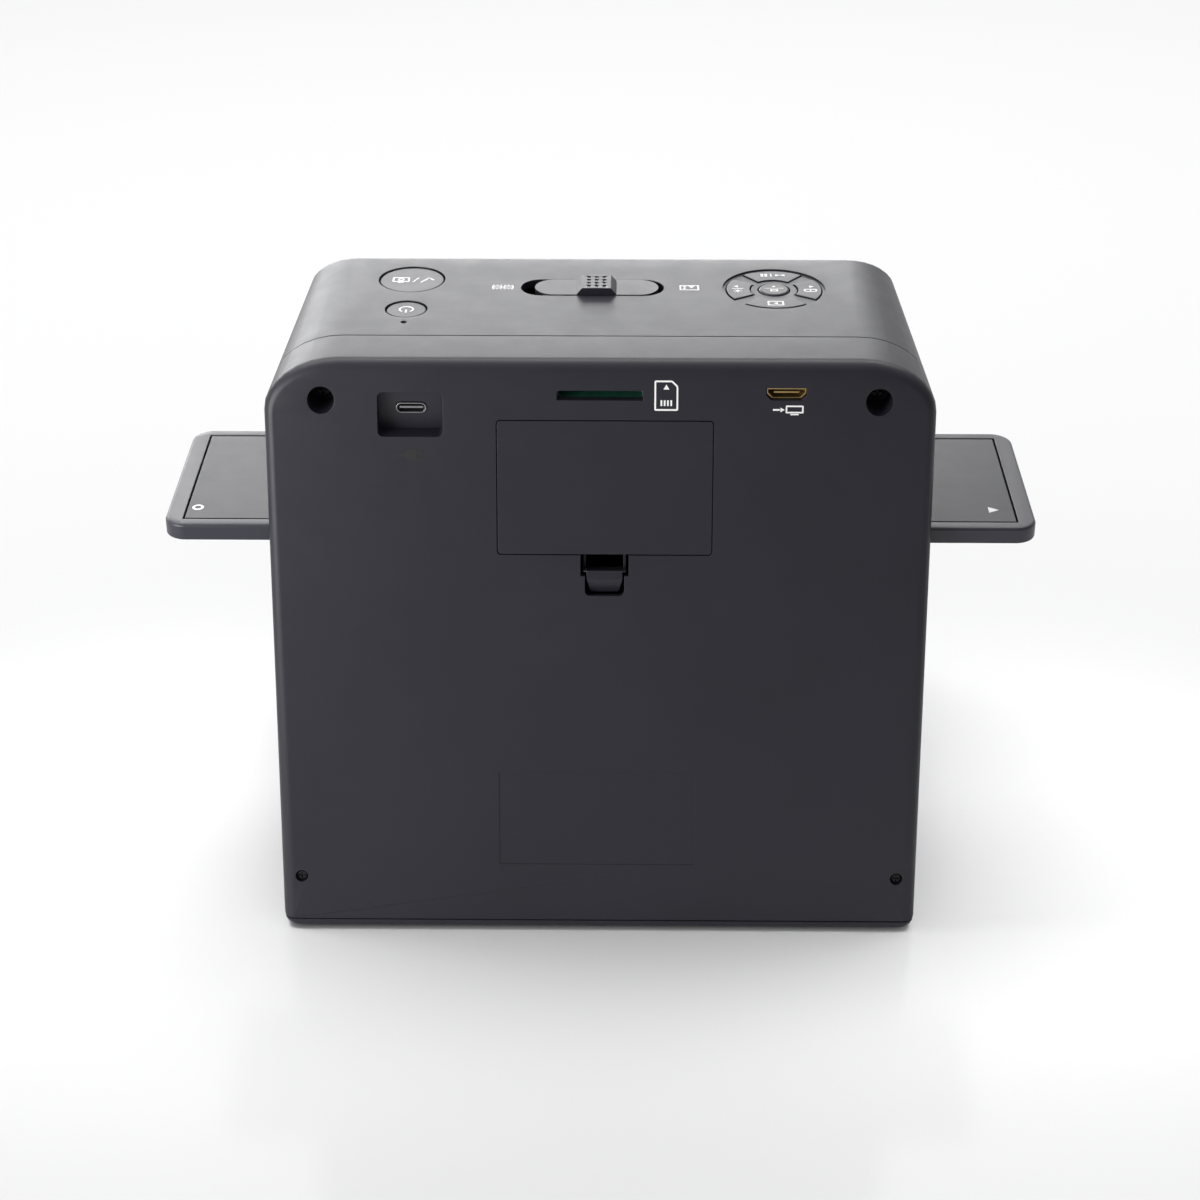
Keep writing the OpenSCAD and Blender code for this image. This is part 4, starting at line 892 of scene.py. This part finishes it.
@dataclass
class MarkPlacer:
    """Turns a place on one of the faces into the frame of a mark there."""

    lean: float = 14.0
    foot_y: float = -83.5
    foot_z: float = 1.0
    sink: float = 0.01

    def frame(self, face: Face, x: float, along: float, height: float = 0.0) -> Matrix:
        """Frame of a mark.

        Args:
            face: Face that carries the mark.
            x: Place across the scanner.
            along: Place along the face: the Y of a level face, the way up the rear face.
            height: Height of a level face.

        Returns:
            Matrix from the mark's frame to the part's frame.
        """
        lean = math.radians(self.lean)
        if face is Face.REAR:
            right = Vector((1, 0, 0))
            up = Vector((0, math.sin(lean), math.cos(lean)))
            spot = Vector((x, self.foot_y, self.foot_z)) + up * along
        else:
            sign = -1 if face is Face.TOP else 1
            right, up = Vector((sign, 0, 0)), Vector((0, sign, 0))
            spot = Vector((x, along, height))
        normal = right.cross(up)
        matrix = Matrix((right, up, normal)).transposed().to_4x4()
        matrix.translation = (spot - normal * self.sink) * MM
        return matrix


# Sub-assemblies


@dataclass
class Housing:
    """The three shells and the feet that they stand on."""

    shop: Workshop
    shell_edge: float = 0.16
    foot_edge: float = 0.2

    def build(self) -> None:
        """Rounds the edges of the shells and the feet."""
        for shell in SHELLS:
            self.shop.soften(shell, self.shell_edge, *SHELLS)
        self.shop.soften("rubber_feet", self.foot_edge)


@dataclass
class TopControls:
    """Keys, mode slider and their printed marks."""

    shop: Workshop
    placer: MarkPlacer
    key_edge: float = 0.14
    slider_edge: float = 0.08
    line: float = 0.5
    pad_reach: float = 11.2
    film_x: float = -30.5
    print_x: float = 27.0

    def build(self) -> None:
        """Shapes the keys and prints the marks."""
        for node in KEYS:
            self.shop.soften(node, self.key_edge)
        self.shop.soften("mode_slider", self.slider_edge)
        self.capture_mark()
        self.power_mark()
        self.centre_mark()
        self.grid_mark()
        self.play_mark()
        self.lamp_mark()
        self.flip_mark()
        self.film_mark()
        self.print_mark()

    def ink(self, name: str, node: str) -> Ink:
        """Starts a mark in the middle of a key's top.

        Args:
            name: Name of the mark.
            node: Key that carries it.

        Returns:
            The mark to draw on.
        """
        low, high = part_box(node)
        middle = (low + high) / 2 / MM
        return Ink(self.shop, name, self.placer.frame(Face.TOP, middle.x, middle.y, high.z / MM))

    def pad_ink(self, name: str, node: str, across: float, along: float) -> Ink:
        """Starts a mark on an outer key of the pad.

        Args:
            name: Name of the mark.
            node: Key that carries it.
            across: Direction from the pad's middle across the scanner, -1 to 1.
            along: Direction from the pad's middle towards the front, -1 to 1.

        Returns:
            The mark to draw on.
        """
        low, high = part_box("key_centre")
        middle = (low + high) / 2 / MM
        spot = (middle.x + self.pad_reach * across, middle.y + self.pad_reach * along)
        return Ink(self.shop, name, self.placer.frame(Face.TOP, *spot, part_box(node)[1].z / MM))

    def slot_ink(self, name: str, x: float) -> Ink:
        """Starts a mark at a place across the top face, in line with the slider's slot."""
        low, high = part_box("mode_slider")
        return Ink(self.shop, name, self.placer.frame(Face.TOP, x, (low.y + high.y) / 2 / MM, self.top))

    @property
    def top(self) -> float:
        """Height of the housing's top face in millimetres."""
        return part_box("front_shell")[1].z / MM

    def camera(self, ink: Ink, at: Point) -> None:
        """Draws a camera.

        Args:
            ink: Mark to draw on.
            at: Middle of the camera.
        """
        x, y = at
        ink.hollow(ink.round_corners(ink.bar((x, y), (5.4, 3.7)), 0.5), 0.6)
        ink.bar((x, y + 2.1), (1.9, 0.7))
        ink.hollow(ink.disc((x, y), 1.05), 0.55)

    def capture_mark(self) -> None:
        """Prints a tick, a stroke and a camera on the capture button."""
        ink = self.ink("mark_capture", "ok_button")
        ink.bar((-6.0, -0.75), (2.3, 0.6), -50)
        ink.bar((-4.1, 0.1), (4.5, 0.6), 55)
        ink.bar((-1.2, 0), (0.5, 3.8), -24)
        self.camera(ink, (3.4, -0.2))
        ink.lay("capture_key", Slot.KEY, self.shop.ink)

    def power_mark(self) -> None:
        """Prints an open ring with a stroke on the power button."""
        ink = self.ink("mark_power", "power_button")
        ink.hollow(ink.disc((0, -0.2), 2.3, sides=40), 0.55, gap=32)
        ink.bar((0, 1.2), (0.55, 2.4))
        ink.lay("power_key", Slot.KEY, self.shop.ink)

    def centre_mark(self) -> None:
        """Prints a small arrow, a line and a frame on the centre key."""
        ink = self.ink("mark_centre", "key_centre")
        ink.triangle((0, -1.7), 0.75, Way.DOWN)
        ink.bar((0, -0.4), (6.0, 0.3))
        ink.hollow(ink.bar((0, 1.3), (2.4, 1.6)), self.line)
        ink.lay("pad_centre", Slot.KEY, self.shop.ink)

    def grid_mark(self) -> None:
        """Prints a grid, a line and a turning pair on the key at the front."""
        ink = self.pad_ink("mark_grid", "key_up", 0, 1)
        for across in (-0.6, 0.6):
            for along in (-0.6, 0.6):
                ink.bar((2.6 + across, along), (0.9, 0.9))
        ink.bar((0.4, 0), (0.35, 2.4))
        ink.triangle((-1.5, 0), 0.85, Way.LEFT, 1.3)
        ink.triangle((-3.3, 0), 0.85, Way.RIGHT, 1.3)
        ink.lay("pad_up", Slot.KEY, self.shop.ink)

    def play_mark(self) -> None:
        """Prints a framed arrow on the key at the rear."""
        ink = self.pad_ink("mark_play", "key_down", 0, -1)
        ink.hollow(ink.round_corners(ink.bar((0, 0), (5.0, 3.4)), 0.4), 0.55)
        ink.triangle((-0.15, 0), 0.95, Way.RIGHT)
        ink.lay("pad_down", Slot.KEY, self.shop.ink)

    def lamp_mark(self) -> None:
        """Prints an arrow, a line and a shining lamp on the key at the left."""
        ink = self.pad_ink("mark_lamp", "key_left", -1, 0)
        ink.triangle((0.3, -2.1), 1.0, Way.RIGHT)
        ink.bar((0, -0.35), (3.6, 0.4))
        height, reach, rays = 1.5, 1.15, 8
        ink.disc((0, height), 0.6)
        for ray in range(rays):
            turn = 360 / rays * ray
            way = math.radians(turn)
            ink.bar((reach * math.cos(way), height + reach * math.sin(way)), (0.5, 0.26), turn)
        ink.lay("pad_left", Slot.KEY, self.shop.ink)

    def flip_mark(self) -> None:
        """Prints an arrow and a divided frame on the key at the right."""
        ink = self.pad_ink("mark_flip", "key_right", 1, 0)
        ink.triangle((-0.3, -2.1), 1.0, Way.LEFT)
        ink.hollow(ink.round_corners(ink.bar((0, 0.9), (4.2, 2.2)), 0.9), self.line)
        ink.bar((0, 0.9), (0.3, 1.36))
        ink.lay("pad_right", Slot.KEY, self.shop.ink)

    def film_mark(self) -> None:
        """Prints a strip of film at the film end of the slider's slot."""
        ink = self.slot_ink("mark_film", self.film_x)
        for side in (-1.5, 1.5):
            for step in range(6):
                ink.bar((1.15 * (step - 2.5), side), (0.55, 0.45))
        for across in (-1.75, 1.75):
            ink.hollow(ink.bar((across, 0), (3.1, 2.0)), self.line)
        ink.lay("housing", Slot.HOUSING, self.shop.ink)

    def print_mark(self) -> None:
        """Prints a framed picture at the print end of the slider's slot."""
        ink = self.slot_ink("mark_print", self.print_x)
        ink.hollow(ink.bar((0, 0), (6.0, 3.9)), self.line)
        ink.triangle((-0.7, -0.85), 1.1, Way.UP, 1.1)
        ink.triangle((1.4, -0.75), 0.8)
        ink.disc((1.5, 0.75), 0.42)
        ink.lay("housing", Slot.HOUSING, self.shop.ink)


@dataclass
class RearSockets:
    """Sockets in the rear face and the marks beside them."""

    shop: Workshop
    placer: MarkPlacer
    card_at: Point = (19.25, 166.35)
    card: Point = (6.9, 8.9)
    card_cut: float = 1.7
    screen_at: Point = (54.5, 162.1)
    plug_at: Point = (-55.5, 148.6)
    plug_rise: float = 0.1
    socket_edge: float = 0.08

    def build(self) -> None:
        """Shapes the metal sockets and prints the marks."""
        self.shop.soften("usb_c_socket", self.socket_edge)
        self.shop.soften("video_socket", self.socket_edge)
        self.card_mark()
        self.screen_mark()
        self.plug_mark()

    def ink(self, name: str, at: Point) -> Ink:
        """Starts a mark at a place across and up the rear face."""
        return Ink(self.shop, name, self.placer.frame(Face.REAR, *at))

    def cut_corner(self, card: Piece) -> None:
        """Cuts the upper right corner off a card.

        Args:
            card: Filled card, drawn about the mark's middle.
        """
        corner = Vector((*self.card, 0)) / 2 * MM
        edit(
            card,
            lambda: bpy.ops.mesh.select_mode(type="VERT"),
            lambda: bpy.ops.mesh.select_all(action="DESELECT"),
        )
        cut = self.card_cut * MM
        for vertex in card.data.vertices:
            vertex.select = (vertex.co - corner).length < cut / 2
        edit_picked(card, lambda: bpy.ops.mesh.bevel(offset=cut, segments=1, affect="VERTICES"))

    def card_mark(self) -> None:
        """Prints a card outline with a cut corner, an arrow and its contacts."""
        ink = self.ink("mark_card", self.card_at)
        card = ink.bar((0, 0), self.card)
        self.cut_corner(card)
        ink.hollow(ink.round_corners(card, 0.4, segments=3), 0.5)
        ink.triangle((0, 2.3), 1.0)
        for step in range(4):
            ink.bar((0.95 * (step - 1.5), -2.2), (0.5, 1.7))
        ink.lay("housing", Slot.HOUSING, self.shop.ink)

    def screen_mark(self) -> None:
        """Prints a lead that runs into a screen."""
        ink = self.ink("mark_screen", self.screen_at)
        ink.bar((-3.3, 0.2), (2.0, 0.5))
        ink.triangle((-1.7, 0.2), 0.8, Way.RIGHT)
        ink.hollow(ink.round_corners(ink.bar((2.0, 0.35), (5.2, 2.3)), 0.3, segments=3), 0.45)
        ink.bar((2.0, -1.15), (2.4, 0.4))
        ink.lay("housing", Slot.HOUSING, self.shop.ink)

    def plug_mark(self) -> None:
        """Raises a small plug in the plastic under the charging pocket."""
        ink = self.ink("mark_plug", self.plug_at)
        ink.round_corners(ink.bar((0.4, 0), (3.6, 3.4)), 0.5)
        ink.bar((-2.75, 0), (2.7, 0.7))
        for side in (-0.9, 0.9):
            ink.bar((3.1, side), (1.8, 0.6))
        ink.lay("housing", Slot.HOUSING, self.shop.finishes[Slot.INNER], self.plug_rise)


@dataclass
class BatteryBay:
    """Door over the battery."""

    shop: Workshop
    door_edge: float = 0.15

    def build(self) -> None:
        """Rounds the door's edges."""
        self.shop.soften("battery_door", self.door_edge)


@dataclass
class FilmCarrier:
    """Film tray, its lid and the marks that show which way it goes in."""

    shop: Workshop
    placer: MarkPlacer
    tray_edge: float = 0.35
    lid_edge: float = 0.15
    ring_at: Point = (-121.5, -21.2)
    arrow_at: Point = (118.1, -20.7)

    def build(self) -> None:
        """Shapes the tray and the lid and prints the marks."""
        self.shop.soften("film_tray", self.tray_edge)
        self.shop.soften("film_tray_lid", self.lid_edge)
        ink = self.ink("mark_ring", self.ring_at)
        ink.hollow(ink.disc((0, 0), 1.75, sides=36), 0.75)
        ink.lay("film_carrier", Slot.HOUSING, self.shop.ink)
        ink = self.ink("mark_arrow", self.arrow_at)
        ink.triangle((0, 0), 2.1, Way.RIGHT)
        ink.lay("film_carrier", Slot.HOUSING, self.shop.ink)

    def ink(self, name: str, at: Point) -> Ink:
        """Starts a mark on the lid.

        Args:
            name: Name of the mark.
            at: Its place from the lid's middle.

        Returns:
            The mark to draw on.
        """
        low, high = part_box("film_tray_lid")
        middle = (low + high) / 2 / MM
        spot = (middle.x + at[0], middle.y + at[1])
        return Ink(self.shop, name, self.placer.frame(Face.LID, *spot, high.z / MM))


@dataclass
class PrintDrawer:
    """Tray for a print in the foot of the front."""

    shop: Workshop
    drawer_edge: float = 0.3

    def build(self) -> None:
        """Rounds the drawer's edges."""
        self.shop.soften("photo_tray", self.drawer_edge)


# Studio


@dataclass(frozen=True)
class Softbox:
    """A lamp with a flat, even face.

    Attributes:
        name: Name of the lamp.
        at: Its place.
        aim: Point that it faces.
        size: Its width and height.
        level: Its brightness, where 1 is white.
        reach: What it lights.
        spread: Angle that its light fans out to, in degrees.
        matt: Whether it lights matt surfaces or shows in glossy ones alone.
    """

    name: str
    at: Spot
    aim: Spot
    size: Point
    level: float
    reach: Reach = Reach.ALL
    spread: float = 180.0
    matt: bool = True

    def hang(self, table: Piece) -> None:
        """Hangs the lamp.

        Args:
            table: Table top that it may light alone or leave out.
        """
        lamp = bpy.data.lights.new(self.name, "AREA")
        lamp.shape = "RECTANGLE"
        lamp.size, lamp.size_y = (side * MM for side in self.size)
        lamp.energy = self.level * math.pi * lamp.size * lamp.size_y
        lamp.spread = math.radians(self.spread)
        holder = bpy.data.objects.new(self.name, lamp)
        bpy.context.scene.collection.objects.link(holder)
        holder.location = Vector(self.at) * MM
        way = Vector(self.aim) - Vector(self.at)
        holder.rotation_euler = way.to_track_quat("-Z", "Y").to_euler()
        holder.visible_diffuse = self.matt
        if self.reach is not Reach.ALL:
            group = bpy.data.collections.new(f"linked_to_{self.name}")
            group.objects.link(table)
            holder.light_linking.receiver_collection = group
            group.collection_objects[0].light_linking.link_state = self.reach.value


SOFTBOXES = (
    Softbox(
        "back_softbox",
        at=(-440, 1250, 480),
        aim=(0, 0, 150),
        size=(1700, 500),
        level=6.4,
        reach=Reach.ALL_BUT_TABLE,
        matt=False,
    ),
    Softbox("top_softbox", at=(-150, 640, 1800), aim=(0, 0, 0), size=(2600, 540), level=6.8),
    Softbox(
        "left_softbox",
        at=(-400, -340, 230),
        aim=(-50, -60, 90),
        size=(300, 300),
        level=9.0,
        reach=Reach.ALL_BUT_TABLE,
    ),
    *(
        Softbox(
            f"floor_softbox_{side + 2}",
            at=(205 * side, -10, 330),
            aim=(130 * side, -40, 0),
            size=(100, 100),
            level=level,
            reach=Reach.TABLE_ALONE,
            spread=52.0,
        )
        for side, level in ((-1, 1.6), (1, 1.4))
    ),
)


@dataclass
class Studio:
    """Table top, lamps, surroundings and camera.

    Attributes:
        camera_at: Place of the camera.
        down: Tilt of the camera below level, in degrees.
        turn: Turn of the camera to its left, in degrees.
        lens: Focal length of the camera.
        sensor: Width of the camera's sensor.
        near: Least distance that the camera sees.
        table_size: Side of the table top.
        table_colour: Colour of the table top.
        mirror: Share of the table top that mirrors.
        haze_size: Size of the blotches in the mirror's haze.
        haze: Least and greatest roughness of the mirror.
        fade: Distances between which the table top runs out into the backdrop.
        fill: Brightness of the room on matt surfaces.
        room_low: Brightness of the room's dark side in glossy surfaces.
        room_turn: Directions between which the room turns bright, as shares of the bright side.
        bright_side: Direction of the room's bright side.
    """

    camera_at: Spot = (6.27, -691.47, 462.65)
    down: float = 29.613
    turn: float = 0.552
    lens: float = 73.688
    sensor: float = 36.0
    near: float = 10.0
    table_size: float = 30000.0
    table_colour: Colour = (0.87, 0.87, 0.875)
    mirror: float = 0.085
    haze_size: float = 90.0
    haze: Point = (0.11, 0.14)
    fade: Point = (900.0, 2600.0)
    fill: float = 0.5
    room_low: float = 0.05
    room_turn: Point = (-0.75, 0.45)
    bright_side: Spot = (-0.6, 0.75, 0.28)

    def build(self) -> None:
        """Builds the whole studio."""
        table = self.lay_table()
        self.surround()
        for softbox in SOFTBOXES:
            softbox.hang(table)
        self.set_camera()

    def lay_table(self) -> Piece:
        """Lays a white glossy table top under the scanner.

        Returns:
            The table top.
        """
        bpy.ops.object.select_all(action="DESELECT")
        bpy.ops.mesh.primitive_plane_add(size=self.table_size * MM)
        table = bpy.context.active_object
        table.name = "table_top"
        table.data.materials.append(self.white_acrylic())
        return table

    def white_acrylic(self) -> bpy.types.Material:
        """White table top with a faint mirror, which runs out into the white backdrop far away.

        Returns:
            The material.
        """
        bench = Bench("white_acrylic")
        bench.constants(Base_Color=(*self.table_colour, 1), Specular_IOR_Level=0)
        haze = bench.spread(bench.noise(self.haze_size, detail=3), *self.haze)
        mirror = bench.add("ShaderNodeBsdfGlossy", Roughness=haze).outputs["BSDF"]
        polished = bench.mix(self.mirror, bench.shader.outputs["BSDF"], mirror)
        _, seen = bench.seen()
        near, far = (reach * MM for reach in self.fade)
        away = bench.remap(bench.work_out(Sum.LENGTH, bench.point), (near, far))
        white = bench.add("ShaderNodeEmission").outputs["Emission"]
        faded = bench.mix(bench.work_out(Sum.PRODUCT, seen, away), polished, white)
        bench.feed(bench.tree.nodes["Material Output"].inputs["Surface"], faded)
        return bench.material

    def surround(self) -> None:
        """Sets a white backdrop all round, and a room that is darker behind the camera."""
        world = bpy.data.worlds.new("studio")
        bpy.context.scene.world = world
        world.use_nodes = True
        world.node_tree.nodes.clear()
        bench = NodeBench(world.node_tree)
        direct, seen = bench.seen()
        way = bench.add("ShaderNodeTexCoord").outputs["Generated"]
        facing = bench.work_out(Sum.FACING, way, self.bright_side)
        room = bench.remap(facing, self.room_turn, (self.room_low, 1.0))
        backdrop = bench.work_out(Sum.LARGER, direct, room)
        white = (1, 1, 1, 1)
        mild, full = (
            bench.add("ShaderNodeBackground", Color=white, Strength=strength).outputs["Background"]
            for strength in (self.fill, backdrop)
        )
        bench.add("ShaderNodeOutputWorld", Surface=bench.mix(seen, mild, full))

    def set_camera(self) -> None:
        """Stands the camera where the photograph was taken."""
        view = bpy.data.cameras.new("view")
        view.sensor_width = self.sensor
        view.lens = self.lens
        view.clip_start = self.near * MM
        holder = bpy.data.objects.new("view", view)
        bpy.context.scene.collection.objects.link(holder)
        holder.location = Vector(self.camera_at) * MM
        holder.rotation_euler = (math.radians(90 - self.down), 0, math.radians(self.turn))
        bpy.context.scene.camera = holder
        bpy.context.scene.view_settings.view_transform = "Standard"


def main() -> None:
    """Builds every sub-assembly round the frame, then the studio."""
    logging.basicConfig(level=logging.INFO, format="%(name)s: %(message)s")
    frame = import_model()
    bpy.ops.object.select_all(action="DESELECT")
    shop = Workshop(frame)
    shop.dress_nodes()
    placer = MarkPlacer()
    Housing(shop).build()
    TopControls(shop, placer).build()
    RearSockets(shop, placer).build()
    BatteryBay(shop).build()
    FilmCarrier(shop, placer).build()
    PrintDrawer(shop).build()
    Studio().build()
    LOG.info("%d pieces made round %d CAD nodes", len(shop.made), len(frame["nodes"]))


if __name__ == "__main__":
    main()
